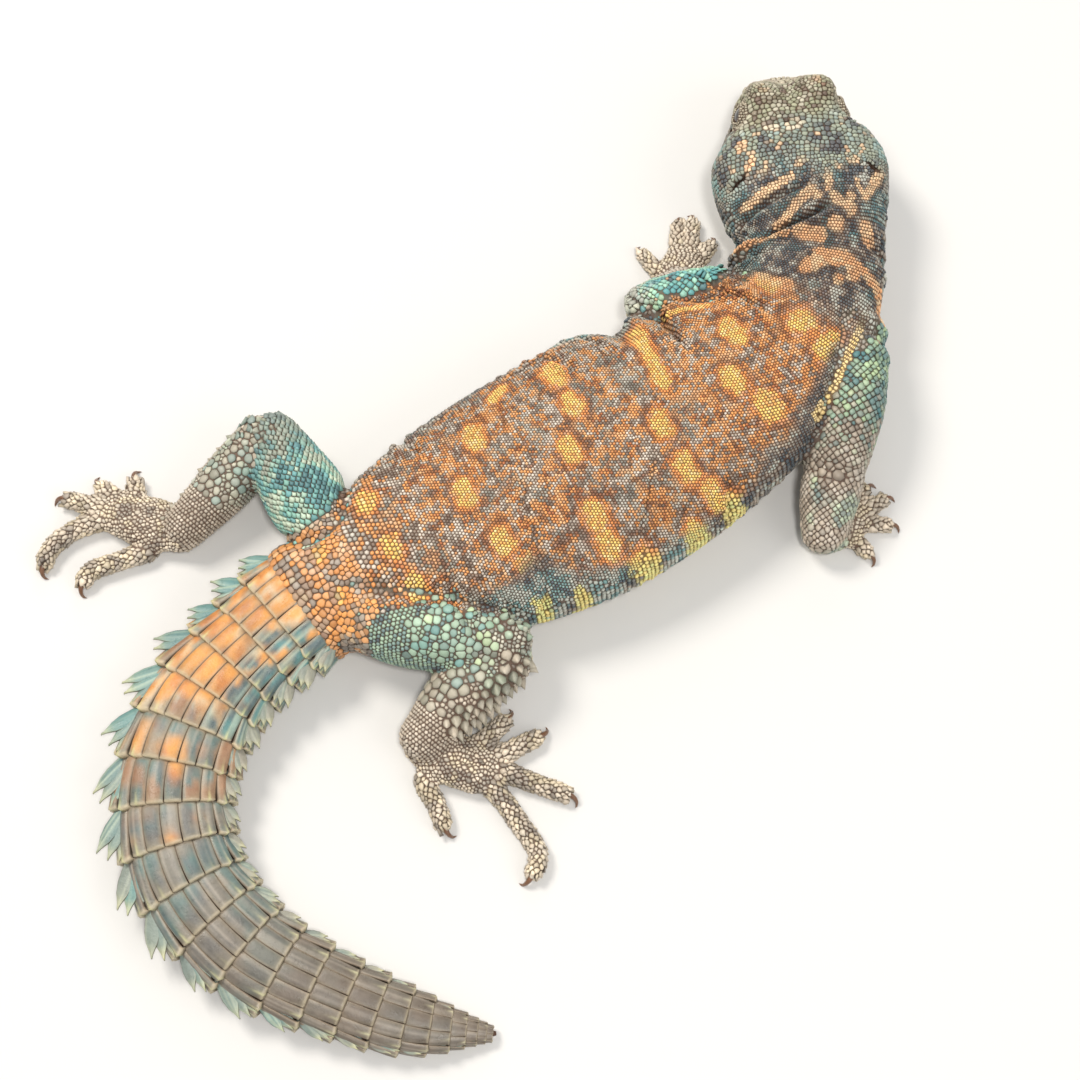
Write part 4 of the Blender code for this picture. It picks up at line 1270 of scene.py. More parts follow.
def scale_rim_shade_and_finish():
    """Node group shared by skin, scales, plates and claws.

    It darkens the tint towards each scale's rim as painted shade, mottles it, and gives roughness and a bumped
    normal. Rim is 1 at the edge of a scale and 0 in its middle.
    """
    found = bpy.data.node_groups.get("Scale rim shade and finish")
    if found:
        return found
    tree = bpy.data.node_groups.new("Scale rim shade and finish", "ShaderNodeTree")
    face = tree.interface
    face.new_socket("Tint", in_out="INPUT", socket_type="NodeSocketColor")
    for name, value in (
        ("Rim", 0.0), ("Rim shade", 0.6), ("Mottle", 0.15), ("Mottle size", 900.0),
        ("Grain size", 4000.0), ("Grain depth", 0.2), ("Roughness low", 0.38), ("Roughness high", 0.62),
    ):
        socket = face.new_socket(name, in_out="INPUT", socket_type="NodeSocketFloat")
        socket.default_value = value
    face.new_socket("Colour", in_out="OUTPUT", socket_type="NodeSocketColor")
    face.new_socket("Roughness", in_out="OUTPUT", socket_type="NodeSocketFloat")
    face.new_socket("Normal", in_out="OUTPUT", socket_type="NodeSocketVector")
    link = tree.links.new
    given = tree.nodes.new("NodeGroupInput")
    result = tree.nodes.new("NodeGroupOutput")
    place = tree.nodes.new("ShaderNodeTexCoord")
    mottle = add_node(tree, "ShaderNodeTexNoise", Detail=3.0, Roughness=0.6)
    link(place.outputs["Object"], mottle.inputs["Vector"])
    link(given.outputs["Mottle size"], mottle.inputs["Scale"])
    grain = add_node(tree, "ShaderNodeTexNoise", Detail=4.0, Roughness=0.65)
    link(place.outputs["Object"], grain.inputs["Vector"])
    link(given.outputs["Grain size"], grain.inputs["Scale"])

    centred = add_node(tree, "ShaderNodeMath")
    centred.operation = "MULTIPLY_ADD"
    link(mottle.outputs["Fac"], centred.inputs[0])
    centred.inputs[1].default_value = 2.0
    centred.inputs[2].default_value = -1.0
    amount = add_node(tree, "ShaderNodeMath")
    amount.operation = "MULTIPLY_ADD"
    link(centred.outputs[0], amount.inputs[0])
    link(given.outputs["Mottle"], amount.inputs[1])
    amount.inputs[2].default_value = 1.0
    # painted shade: the tint darkens towards each scale's rim, by Rim shade
    edge = add_node(tree, "ShaderNodeMath")
    edge.operation = "POWER"
    link(given.outputs["Rim"], edge.inputs[0])
    edge.inputs[1].default_value = 3.0
    shade = add_node(tree, "ShaderNodeMath")
    shade.operation = "MULTIPLY"
    link(edge.outputs[0], shade.inputs[0])
    link(given.outputs["Rim shade"], shade.inputs[1])
    keep = add_node(tree, "ShaderNodeMath")
    keep.operation = "SUBTRACT"
    keep.inputs[0].default_value = 1.0
    link(shade.outputs[0], keep.inputs[1])
    light = add_node(tree, "ShaderNodeMath")
    light.operation = "MULTIPLY"
    link(amount.outputs[0], light.inputs[0])
    link(keep.outputs[0], light.inputs[1])
    tinted = add_node(tree, "ShaderNodeVectorMath")
    tinted.operation = "SCALE"
    link(given.outputs["Tint"], tinted.inputs[0])
    link(light.outputs[0], tinted.inputs["Scale"])
    link(tinted.outputs[0], result.inputs["Colour"])

    rough = add_node(tree, "ShaderNodeMapRange")
    link(mottle.outputs["Fac"], rough.inputs["Value"])
    rough.inputs["From Min"].default_value = 0.3
    rough.inputs["From Max"].default_value = 0.7
    link(given.outputs["Roughness low"], rough.inputs["To Min"])
    link(given.outputs["Roughness high"], rough.inputs["To Max"])
    link(rough.outputs["Result"], result.inputs["Roughness"])
    bump = add_node(tree, "ShaderNodeBump", Distance=0.0002)
    link(given.outputs["Grain depth"], bump.inputs["Strength"])
    link(grain.outputs["Fac"], bump.inputs["Height"])
    link(bump.outputs["Normal"], result.inputs["Normal"])
    return tree


def scaly_material(name, tint=None, specular=0.45, coat=0.0, **values):
    """A material on the shared finish with painted rim shade, tinted by the mesh's own colours or by one colour."""
    found = bpy.data.materials.get(name)
    if found:
        return found
    material = bpy.data.materials.new(name)
    material.use_nodes = True
    tree = material.node_tree
    shader = tree.nodes["Principled BSDF"]
    shader.inputs["Specular IOR Level"].default_value = specular
    shader.inputs["Coat Weight"].default_value = coat
    shader.inputs["Coat Roughness"].default_value = 0.3
    group = tree.nodes.new("ShaderNodeGroup")
    group.node_tree = scale_rim_shade_and_finish()
    for key, value in values.items():
        group.inputs[key.replace("_", " ")].default_value = value
    if tint is None:
        source = tree.nodes.new("ShaderNodeAttribute")
        source.attribute_name = "tint"
        tree.links.new(source.outputs["Color"], group.inputs["Tint"])
        rim = tree.nodes.new("ShaderNodeAttribute")
        rim.attribute_name = "rim"
        tree.links.new(rim.outputs["Fac"], group.inputs["Rim"])
    else:
        group.inputs["Tint"].default_value = (*tint, 1)
    tree.links.new(group.outputs["Colour"], shader.inputs["Base Color"])
    tree.links.new(group.outputs["Roughness"], shader.inputs["Roughness"])
    tree.links.new(group.outputs["Normal"], shader.inputs["Normal"])
    return material


FLESH_NODES = ["head", "neck", "trunk", "tail_root", "tail_middle", "tail_end", *LIMBS, *PAWS]


def unwrap(tube, run, angle):
    """Places on an unwrap of the skin: the body fills the lower half of the square, and each
    length of limb and part of a paw has a cell in the upper half."""
    turn = angle / (2 * math.pi) % 1
    along = np.clip((run + 3) / (tube.length + 6), 0, 1) * 0.94
    if tube is body():
        return np.column_stack([along, turn / 2])
    number = [*limbs().values(), *paws().values()].index(tube)
    return np.column_stack([(number % 8 + along) / 8, 0.5 + (number // 8 + turn * 0.94) / 8])


def back_patches(rng):
    """Fine scales in slanting rows over the neck and back, and squarer ones on the flanks."""
    tube, fine = body(), sizes().back_scale
    low, high = math.radians(-22), math.radians(202)
    found = []
    for share, flank, seed in ((1.0, False, 3), (1.5, True, 4)):
        run, angle, width = tube.rows(
            31.5, RUMP_START + 1, lambda run: float(fine * share * (1 + 0.7 * fade(140, 160, run))),
            low, high, seed, 0.04, group=10,
        )
        roots = cast_roots(tube, run, angle, width, folds(run, angle))
        aside = np.abs(degrees_from(roots["angle"], 90)) + (noise(roots["at"], 5.0, 61) - 0.5) * 30
        here = (aside > 66) == flank
        roots = {key: value[here] for key, value in roots.items()}
        tint = markings(roots["at"], roots["run"], roots["angle"], rng)
        bake = unwrap(tube, roots["run"], roots["angle"])
        found.append(patch_of("back_scales", roots, tint, bake, rng, height=0.34, tilt=0.1, vary=0.06))
    return found


def rump_patch(rng):
    """Flat tiles before the tail, larger towards its first ring."""
    tube, fine = body(), sizes().back_scale
    run, angle, width = tube.rows(
        RUMP_START + 1.5, TAIL_START + 1.2, lambda run: float(fine * (1.7 + 0.8 * fade(157, 170, run))),
        math.radians(-22), math.radians(202), 6, 0.10, 0.8,
    )
    roots = cast_roots(tube, run, angle, width, folds(run, angle))
    tint = markings(roots["at"], roots["run"], roots["angle"], rng)
    c, pick = palette(), rng.random((2, len(tint)))
    dull = mix(c["stone"] * 0.8, c["orange"] * 0.75 + c["yellow"] * 0.12,
               fade(0.44, 0.52, 0.7 * noise(roots["at"], 2.4, 79) + 0.3 * pick[0]))
    tint = mix(tint, mix(dull, c["cream"] * 0.9, fade(0.9, 0.97, pick[1]) * 0.5), 0.7)
    bake = unwrap(tube, roots["run"], roots["angle"])
    return patch_of("rump_scales", roots, tint, bake, rng, height=0.17, tilt=0.08, vary=0.14, rear=0.15)


def belly_patch(rng):
    """Smooth scales in rows across the belly."""
    tube, coarse = body(), sizes().belly_scale
    low, high = math.radians(202), math.radians(338)
    run, angle, width = tube.rows(31.5, TAIL_START + 1.5, lambda run: coarse, low, high, 5)
    roots = cast_roots(tube, run, angle, width, folds(run, angle))
    tint = markings(roots["at"], roots["run"], roots["angle"], rng)
    bake = unwrap(tube, roots["run"], roots["angle"])
    return patch_of("belly_scales", roots, tint, bake, rng, height=0.16, tilt=0.06, shade=0.05)


def head_patch(rng):
    """Larger scales of mixed sizes over the head, finer on the snout, the brows and the nape."""
    tube, big = body(), sizes().crown_scale

    def spacing(run):
        brows = 0.22 * math.exp(-(((run - 8.0) / 4.0) ** 2))
        return float(big * (1 - brows - 0.12 * fade(3, 0, run) - 0.40 * fade(21, 31, run)))

    run, angle, width = tube.rows(-1.6, 32.2, spacing, seed=7, jitter=0.12)
    roots = cast_roots(tube, run, angle, width, folds(run, angle), 1.8)
    at = roots["at"]
    free = np.ones(len(at), bool)
    for sign in (1, -1):
        free &= lid_measure(at, sign) > 2.35
        free &= ear_measure(at, sign) > 1.1
        free &= nostril_distance(at, sign) > NOSTRIL_RADIUS * 1.8
    place, height = head_place(at)
    free &= (np.abs(height - mouth_height(place)) > 1.15) | (place > MOUTH_END - 0.5)
    roots = {key: value[free] for key, value in roots.items()}
    tint = markings(roots["at"], roots["run"], roots["angle"], rng)
    bake = unwrap(tube, roots["run"], roots["angle"])
    return patch_of("head_scales", roots, tint, bake, rng, height=0.3, tilt=0.05, vary=0.13, shade=0.12)


def lip_patch(rng):
    """Two rows of scales over and under the mouth line, from one corner round to the other."""
    tube = body()
    rows = []
    for level, width in ((0.72, 1.1), (-0.72, 1.15), (1.62, 1.05), (-1.7, 1.1)):
        run = np.arange(-1.55, MOUTH_END - 0.3, 0.92 * width)
        run = run + rng.normal(0, 0.05, len(run))
        row, over = tube.row(run)
        depth = row[:, 5] * np.sqrt(np.clip(1 - (np.minimum(over, 0) / tube.caps[0]) ** 2, 0.02, 1))
        height = np.clip((mouth_height(run) + level) / depth, -0.999, 0.999)
        tilt = np.sign(height) * np.arcsin(np.abs(height) ** 1.1)
        for angle in (tilt, math.pi - tilt):
            rows.append(np.column_stack([run, angle, np.full(len(run), width)]))
    run, angle, width = np.vstack(rows).T
    roots = cast_roots(tube, run, angle, width, 0.0, 1.6)
    tint = markings(roots["at"], roots["run"], roots["angle"], rng) * 0.6 + palette()["ash"] * 0.35
    bake = unwrap(tube, roots["run"], roots["angle"])
    return patch_of("lip_scales", roots, tint, bake, rng, height=0.24, limit=0.62)


def lid_patches(rng):
    """Rings of granules round each eye's opening, larger away from the rim."""
    c = palette()
    found = []
    for sign in (1, -1):
        centre, out, ahead, rise = eye_frame(sign)
        for ring, measure in enumerate((1.12, 1.34, 1.58, 1.84, 2.12)):
            width = 0.40 + 0.05 * ring
            long, tall = (measure * v for v in EYE_OPENING)
            count = int(2 * math.pi * math.hypot(long, tall) / math.sqrt(2) / width)
            turn = (np.arange(count) + 0.5 * (ring % 2)) / count * 2 * math.pi
            power = 2 / 1.65
            x = long * np.sign(np.cos(turn)) * np.abs(np.cos(turn)) ** power
            z = tall * np.sign(np.sin(turn)) * np.abs(np.sin(turn)) ** power
            radius = EYE_RADIUS + LID_THICKNESS
            deep = np.sqrt(np.maximum(radius**2 - x**2 - z**2, 0.8))
            points = centre + np.outer(x, ahead) + np.outer(z, rise) + np.outer(deep, out)
            places, normals, kept = settle(points, 2.2)
            around = unit(np.roll(points, -1, axis=0) - np.roll(points, 1, axis=0))
            outward = unit(normals + unit(points - centre) * 0.5)
            around = unit(around - outward * (around * outward).sum(1, keepdims=True))
            roots = {
                "at": places[kept], "out": outward[kept], "back": around[kept],
                "width": np.full(kept.sum(), width), "stretch": np.ones(kept.sum()),
            }
            shade = rng.random(kept.sum())
            tint = mix(mix(c["stone"], c["sand"], shade), c["olive"], 0.35 + 0 * shade)
            run, angle, _ = body().find(roots["at"])
            bake = unwrap(body(), run, angle)
            found.append(patch_of("eyelid_scales", roots, tint, bake, rng, height=0.4))
    return found


# Knobs and spikes of the legs. Each is the piece, the length of limb, its stretch as shares of
# that length, the arc in degrees, spacing and width in mm, height as a share of the width
ORNAMENTS = (
    ("leg_knobs", "thigh_right", (0.36, 1.0), (16, 134), 1.75, 1.75, 0.14),
    ("leg_knobs", "shank_right", (0.00, 0.72), (-20, 112), 2.3, 2.3, 0.2),
    ("leg_knobs", "shank_left", (0.05, 0.6), (30, 150), 2.0, 1.8, 0.16),
    ("leg_spikes", "shank_right", (0.06, 0.72), (118, 200), 2.25, 2.4, 0.85),
    ("leg_spikes", "shank_right", (-0.20, 0.06), (96, 204), 2.0, 2.1, 0.75),
    ("leg_spikes", "thigh_right", (0.92, 1.2), (86, 170), 1.8, 1.9, 0.6),
    ("leg_spikes", "shank_left", (0.10, 1.00), (-40, 12), 1.7, 1.7, 0.6),
    ("leg_spikes", "shank_left", (-0.10, 0.25), (60, 130), 1.7, 1.7, 0.6),
)


def leg_ornaments(rng):
    """Round knobs on the legs, and spikes down their outer edges."""
    c = palette()
    found = []
    for number, (piece, name, (start, stop), (low, high), spacing, width, height) in enumerate(ORNAMENTS):
        tube = limbs()[name]
        run, angle, _ = tube.rows(start * tube.length, stop * tube.length, lambda run: spacing,
                                  math.radians(low), math.radians(high), 11 + number, 0.13)
        roots = cast_roots(tube, run, angle, np.full(len(run), float(width)), 0.0, 2.2)
        if name.startswith("thigh") and piece == "leg_knobs":
            aside = np.abs(degrees_from(roots["angle"], (low + high) / 2)) / (high - low) * 2
            near = np.maximum(aside, np.abs(roots["run"] / tube.length - (start + stop) / 2) / (stop - start) * 2)
            stays = rng.random(len(near)) < fade(1.05, 0.55, near)
            roots = {key: value[stays] for key, value in roots.items()}
        count = len(roots["at"])
        roots["width"] = roots["width"] * rng.uniform(0.62, 1.05, count)
        tint = limb_colours(name, roots["at"], roots["run"], roots["angle"], rng)
        thigh, spike = name.startswith("thigh"), piece == "leg_spikes"
        pale = mix(c["jade"], c["stone"], 0.4) if thigh else c["stone"] * 0.85 + c["jade"] * 0.15
        tint = mix(tint, pale, rng.uniform(0.2, 0.8, count))
        green = c["lemon"] * 0.45 + c["jade"] * 0.4
        tint = mix(tint, green, fade(0.86, 0.94, rng.random(count)) * (0.6 if thigh else 0.0))
        tint = mix(tint, c["teal"], fade(0.6, 0.9, rng.random(count)) * (0.0 if spike else 0.5 if thigh else 0.35))
        bake = unwrap(tube, roots["run"], roots["angle"])
        found.append(patch_of(piece, roots, tint, bake, rng, height=height, limit=0.68, grip=1.08,
                              lean=0.35 if spike else 0.0, vary=0.08, shade=0.1))
    return found


def limb_patches(rng):
    """Rhombic tiles on the arms, granules on the legs, pointed lapped scales on the left thigh."""
    found = []
    for number, (name, tube) in enumerate(limbs().items()):
        lapped = name == "thigh_left"
        tiles = lapped or "arm" in name
        width = sizes().arm_scale if tiles else sizes().leg_scale
        width *= {"upper_arm_right": 1.05, "forearm_left": 0.9, "forearm_right": 0.95}.get(name, 1.0)
        run, angle, wide = tube.rows(
            -tube.caps[0] * 0.7, tube.length + tube.caps[1] * 0.8, lambda run: width, seed=200 + number,
            jitter=0.03 if tiles else 0.06, pitch=0.41 if tiles else 0.87, group=8 if tiles else 1,
        )
        roots = cast_roots(tube, run, angle, wide)
        clear = body().find(roots["at"])[2] > (1.05 if tiles else 1.0)
        roots = {key: value[clear] for key, value in roots.items()}
        tint = limb_colours(name, roots["at"], roots["run"], roots["angle"], rng)
        bake = unwrap(tube, roots["run"], roots["angle"])
        style = {"height": 0.17 if tiles else 0.3, "tilt": 0.14 if tiles else 0.05}
        style["limit"] = 0.62 if tiles else 0.78
        if lapped:
            style.update(rear=0.3, point=0.7, tilt=0.3)
        piece = "arm_scales" if tiles else "leg_scales"
        found.append(patch_of(piece, roots, tint, bake, rng, **style))
    return found


def paw_patches(rng):
    """Small scales on the palms and the backs of the feet, and plates across the digits."""
    small = sizes().paw_scale
    found = []
    for number, ((paw, part), tube) in enumerate(paws().items()):
        palm = part == "palm"
        width = small * 1.25 if palm else small * 1.6
        run, angle, wide = tube.rows(0 if palm else 0.5, tube.length + tube.caps[1] * 0.7,
                                     lambda run: width, seed=300 + number, jitter=0.12, pitch=0.7)
        roots = cast_roots(tube, run, angle, wide, 0.0, 1.0)
        tint = limb_colours(f"{paw} {part}", roots["at"], roots["run"], roots["angle"], rng)
        bake = unwrap(tube, roots["run"], roots["angle"])
        style = {"height": 0.3, "tilt": 0.14, "vary": 0.2, "point": 0.3, "rear": 0.15, "shade": 0.14}
        if not palm:
            style.update(height=0.22, tilt=0.34, point=0.6, rear=0.35)
        piece = "paw_scales" if palm else "digit_plates"
        found.append(patch_of(piece, roots, tint, bake, rng, **style))
    return found


def bare_patch(patches, rng):
    """Granules for skin that no patch reaches: one for each small cell of space at most, in
    turns, so that those of a later turn give way to those before."""
    points = hide()[0]
    cells = np.round(points / BARE_SPACING).astype(int)
    chosen = np.unique(cells, axis=0, return_index=True)[1]
    points, cells = points[chosen], cells[chosen]
    rows = np.concatenate([np.column_stack([patch["at"], patch["width"]]) for patch in patches])
    tree = KDTree(len(rows))
    for number, row in enumerate(rows.tolist()):
        tree.insert(row[:3], number)
    tree.balance()
    found = [tree.find(point)[1:] for point in points.tolist()]
    number, far = np.array(found).T
    run, _, out = body().find(points)
    bare = (far > 0.5 * rows[number.astype(int), 3] + 0.2) & ((run < TAIL_START - 1) | (out > 1.7))
    for sign in (1, -1):
        bare &= (lid_measure(points, sign) > 2.35) & (ear_measure(points, sign) > 1.3)
        bare &= nostril_distance(points, sign) > NOSTRIL_RADIUS * 1.2
    place, height = head_place(points)
    bare &= (np.abs(height - mouth_height(place)) > 1.0) | (place > MOUTH_END)
    bare &= run > 16
    places, normals, kept = settle(points[bare], 0.5)
    places, normals, cells = places[kept], normals[kept], cells[bare][kept]
    back = body().row(body().find(places)[0])[0][:, 6:9]
    back = unit(back - normals * (back * normals).sum(1, keepdims=True))
    count = len(places)
    roots = {"at": places, "out": normals, "back": back, "width": np.full(count, BARE_SPACING),
             "stretch": np.ones(count)}
    tint, bake = skin_colours(places)
    patch = patch_of("crease_scales", roots, tint, bake, rng, height=0.3)
    patch["order"] = len(patches) + (cells % 2) @ (1, 2, 4)
    return patch


class LIZARD_OT_skin(bpy.types.Operator):
    """Build the skin that covers the whole animal"""

    bl_idname = "lizard.skin"
    bl_label = "Skin"

    def execute(self, context):
        points, faces, _ = hide()
        material = scaly_material("Skin between scales", Rim_shade=0.0, Mottle=0.2, Grain_depth=0.4,
                                  Grain_size=2500.0, Roughness_low=0.55, Roughness_high=0.8)
        skin = make_object("skin", points, faces, "back_skin", material)
        c = palette()
        # The skin between the scales is the local colour darkened towards umber: partly the skin's own darker tone,
        # partly painted shade in the gaps between the scales.
        colours = mix(skin_colours(points)[0] * 0.46, palette()["umber"] * 0.42, np.full(len(points), 0.7)) + (c["rust"] * 0.5 + c["gap"] * 0.5) * 0.16
        write_attribute(skin, "tint", "FLOAT_COLOR", with_alpha(colours))
        write_attribute(skin, "rim", "FLOAT", np.zeros(len(points)))
        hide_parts(*FLESH_NODES)
        return {"FINISHED"}


class LIZARD_OT_back_scales(bpy.types.Operator):
    """Cover the neck, trunk and belly with fine scales in rows"""

    bl_idname = "lizard.back_scales"
    bl_label = "Back and belly scales"

    def execute(self, context):
        material = scaly_material("Back scales", Rim_shade=0.5, Mottle=0.10, Roughness_low=0.36,
                                  Roughness_high=0.55)
        for name in ("back_scales", "rump_scales", "belly_scales"):
            plant(name, material)
        return {"FINISHED"}


class LIZARD_OT_head_scales(bpy.types.Operator):
    """Cover the head with its larger scales, lip rows and eyelid granules"""

    bl_idname = "lizard.head_scales"
    bl_label = "Head scales"

    def execute(self, context):
        material = scaly_material("Head scales", Rim_shade=0.55, Mottle=0.14, Roughness_low=0.34,
                                  Roughness_high=0.52)
        for name in ("head_scales", "lip_scales", "eyelid_scales"):
            plant(name, material)
        return {"FINISHED"}


class LIZARD_OT_limb_scales(bpy.types.Operator):
    """Cover the arms, legs, hands and feet with scales, knobs and spikes"""

    bl_idname = "lizard.limb_scales"
    bl_label = "Limb scales"

    def execute(self, context):
        material = scaly_material("Limb scales", Rim_shade=0.6, Mottle=0.14, Roughness_low=0.36,
                                  Roughness_high=0.55)
        for name in ("arm_scales", "leg_scales", "leg_knobs", "leg_spikes", "crease_scales", "paw_scales",
                     "digit_plates"):
            plant(name, material)
        return {"FINISHED"}


# Side spines of a ring of the tail: root and point, each outward and back, and half width, as
# shares of the ring's length at the side, then the height of one over another
BLADES = (
    (-0.14, 0.00, 0.62, 0.70, 0.165, -0.30),
    (-0.14, 0.10, 0.42, 0.88, 0.155, 0.00),
    (-0.14, 0.24, 0.19, 0.96, 0.135, 0.25),
)

# A tail plate's grid: shares of the way from its front to its rear, and across it from -1 to 1
PLATE_ROWS = (-0.04, 0.03, 0.12, 0.30, 0.50, 0.70, 0.84, 0.91, 0.975, 1.02)
PLATE_COLUMNS = (-1.03, -0.975, -0.89, -0.58, -0.28, 0.0, 0.28, 0.58, 0.89, 0.975, 1.03)


def whorl_edges():
    """Where each whorl of the tail ends, as a share of the tail's length."""
    numbers = np.arange(1, WHORLS + 1) / WHORLS
    pitch = 0.82 + 0.55 * np.sin(math.pi * np.clip(numbers * 1.12, 0, 1)) - 0.62 * numbers**3
    return np.concatenate([[0.0], np.cumsum(pitch) / pitch.sum()])


class LIZARD_OT_tail_plates(bpy.types.Operator):
    """Build the plates and side spines in rings round the tail"""

    bl_idname = "lizard.tail_plates"
    bl_label = "Tail plates"

    def execute(self, context):
        material = scaly_material("Tail plates", Rim_shade=0.5, Mottle=0.26, Mottle_size=750.0,
                                  Grain_size=2200.0, Grain_depth=0.5, Roughness_low=0.24,
                                  Roughness_high=0.46)
        edges = whorl_edges()
        spans = {"tail_plates_root": (0, 7), "tail_plates_middle": (7, 14), "tail_plates_end": (14, WHORLS)}
        for name, (begin, end) in spans.items():
            whorls = [
                shape(number, edges[number], edges[number + 1])
                for number in range(begin, end)
                for shape in (self.whorl, self.blades)
            ]
            self.make(name, *(np.concatenate(values) for values in zip(*whorls)), material)
        return {"FINISHED"}

    def borders(self, number, place, plate):
        """Angles between the plates of a ring: each spans a plate's width, less at the sides."""
        turn = np.linspace(0, 4 * math.pi, 481)
        ring = body().point(np.full(481, place), turn)
        aside = np.abs(degrees_from((turn[1:] + turn[:-1]) / 2, 90))
        crowd = 1 + SIDE_PLATE_CROWDING * np.exp(-(((aside - 80) / 28) ** 2))
        crowd = crowd * (1 + 0.25 * fade(110, 150, aside))
        arc = np.linalg.norm(np.diff(ring, axis=0), axis=1)
        reach = np.concatenate([[0.0], np.cumsum(arc * crowd)])
        count = int(np.clip(round(reach[240] / plate), 10, 34))
        spread = np.arange(count + 1) + 0.5 * (number % 2)
        return np.interp(spread / count * reach[240], reach, turn)

    def whorl(self, number, begin, end):
        """One ring of plates.

        A plate is a grid from its front to its rear and across it. It is nearly flat, rises to a
        thin raised rear edge, and its outermost rows turn down into the skin.
        """
        tube = body()
        rng = np.random.default_rng(500 + number)
        length = tube.length - TAIL_START
        start, stop = TAIL_START + length * begin, TAIL_START + length * end
        half_width = tube.row(np.array([(start + stop) / 2]))[0][0, 3]
        size = half_width / 11
        borders = self.borders(number, stop, sizes().tail_plate * (0.5 + 0.5 * size))
        count = len(borders) - 1
        middle = ((borders[1:] + borders[:-1]) / 2)[:, None]
        half = ((borders[1:] - borders[:-1]) / 2)[:, None]
        u, v = (g.ravel()[None] for g in np.meshgrid(PLATE_ROWS, PLATE_COLUMNS, indexing="ij"))
        rise = np.clip(u, 0, 1)
        edge = (u < 0) | (u > 1) | (np.abs(v) > 1)

        aside = np.abs(degrees_from(middle, 90))
        above = fade(34, 50, aside) * fade(72, 62, aside)
        tip = np.clip(1.05 - end**2.4, 0.12, 1) * min(1.0, 0.62 + end * 5)
        reach = SPINE_REACH * 0.16 * tip * above * rng.uniform(0.86, 1.12, (count, 1))

        taper = 1 - 0.06 * rise**2
        angle = middle + v * half * taper
        run = start + (stop - start) * (u + 0.04 * rise) + 0 * angle
        keel = np.exp(-((v / 0.22) ** 2)) * rise**2.5 * (0.10 + 0.35 * above)
        lip = 0.10 * np.exp(-(((u - 0.955) / 0.035) ** 2))
        rounded = -0.30 * np.abs(v) ** 5 - 0.30 * fade(0.12, 0.0, u) - 0.12 * np.abs(2 * rise - 1) ** 3
        lift = size * (0.30 - 0.55 * (1 - rise) + keel + lip + rounded)
        lift = np.where(edge, lift - np.where((u < 0) | (u > 1), 1.1, 0.45) * size, lift)
        points = tube.point(run.ravel(), angle.ravel(), lift.ravel()).reshape(count, -1, 3)
        out, back, _ = tube.facing(np.full(count, (start + stop) / 2), middle[:, 0])
        level = unit(out * (1, 1, 0.3))
        flare = 1.0 * size * fade(38, 70, aside) * fade(130, 110, aside) * rise**1.4
        points = points + flare[..., None] * level[:, None]
        grow = fade(0.30, 1.0, u) ** 1.1 * np.clip(1 - np.abs(v), 0, 1) ** 0.7
        heading = unit(level * 0.3 + back)
        points = points + (grow * reach)[..., None] * heading[:, None]

        colours = self.tints(end, middle, points, u, v, rng)
        bake = unwrap(tube, np.full(count, (start + stop) / 2), middle[:, 0])[:, None] * 0.98 + 0.01
        local = np.column_stack([v[0], u[0] * 2 - 1]) * BAKE_PATCH / 2
        rims = np.broadcast_to(edge * 1.0, (count, u.shape[1]))
        return points, colours, rims, bake + local[None]

    def blades(self, number, begin, end):
        """Three flat spines on each side of a ring, side by side like the ribs of a fan.

        A spine's grid runs from its root to its point and across it. It keeps its width for
        half its length, is thickest along the middle, and slopes down a little to the outside.
        """
        tube, rng = body(), np.random.default_rng(700 + number)
        length = tube.length - TAIL_START
        start, stop = TAIL_START + length * begin, TAIL_START + length * end
        size = tube.row(np.array([(start + stop) / 2]))[0][0, 3] / 11
        tip = np.clip(1.05 - end**2.4, 0.12, 1) * min(1.0, 0.62 + end * 5)
        count = 2 * len(BLADES)
        left = np.repeat((True, False), len(BLADES))
        root_out, root_back, point_out, point_back, half, level = np.tile(BLADES, (2, 1)).T[:, :, None]
        angle = np.radians(np.where(left, 26, 180 - 26))
        front = tube.point(np.full(count, start), angle, -0.3)
        rear = tube.point(np.full(count, stop), angle, -0.3)
        back = unit((rear - front) * (1, 1, 0.2))
        out = unit(np.cross(back, (0, 0, 1))) * np.where(left, 1, -1)[:, None]
        pitch = np.linalg.norm(rear - front, axis=1, keepdims=True)
        reach = np.maximum(pitch, 7.0 * size) * rng.uniform(0.9, 1.08, (count, 1))
        root = front + out * root_out * reach + back * root_back * pitch
        point_out = np.where(left[:, None], point_out * tip, point_out * tip * 0.8)
        point_back = np.where(left[:, None], point_back + 0.16 * end, point_back * 0.85 + 0.15)
        point = front + out * point_out * reach + back * point_back * pitch
        root[:, 2:] += level * size
        point[:, 2:] += level * size * 0.6 - 0.2
        ahead = unit(point - root)
        across = unit(np.cross((0, 0, 1), ahead) + np.outer(np.where(left, 0.28, -0.28), (0, 0, 1)))
        upward = np.cross(ahead, across)

        u, v = (g.ravel()[None] for g in np.meshgrid(PLATE_ROWS, PLATE_COLUMNS, indexing="ij"))
        rise = np.clip(u, 0, 1)
        edge = (u < 0) | (u > 1) | (np.abs(v) > 1)
        along = rise * np.linalg.norm(point - root, axis=1)[:, None]
        wide = half * reach * (1 - 0.93 * fade(0.5, 1.0, rise) ** 1.2) * np.clip(v, -1, 1)
        ridge = 0.14 * np.exp(-((v / 0.2) ** 2)) * fade(0.2, 0.7, rise)
        tall = size * (0.34 * np.clip(1 - v**2, 0, 1) ** 0.7 * (1 - 0.6 * rise) + ridge)
        tall = np.where(edge, -0.28 * size, tall)
        bow = 0.05 * along * (1 - rise)
        points = root[:, None] + along[..., None] * ahead[:, None] + wide[..., None] * across[:, None]
        points = points + tall[..., None] * upward[:, None] + bow[..., None] * out[:, None]

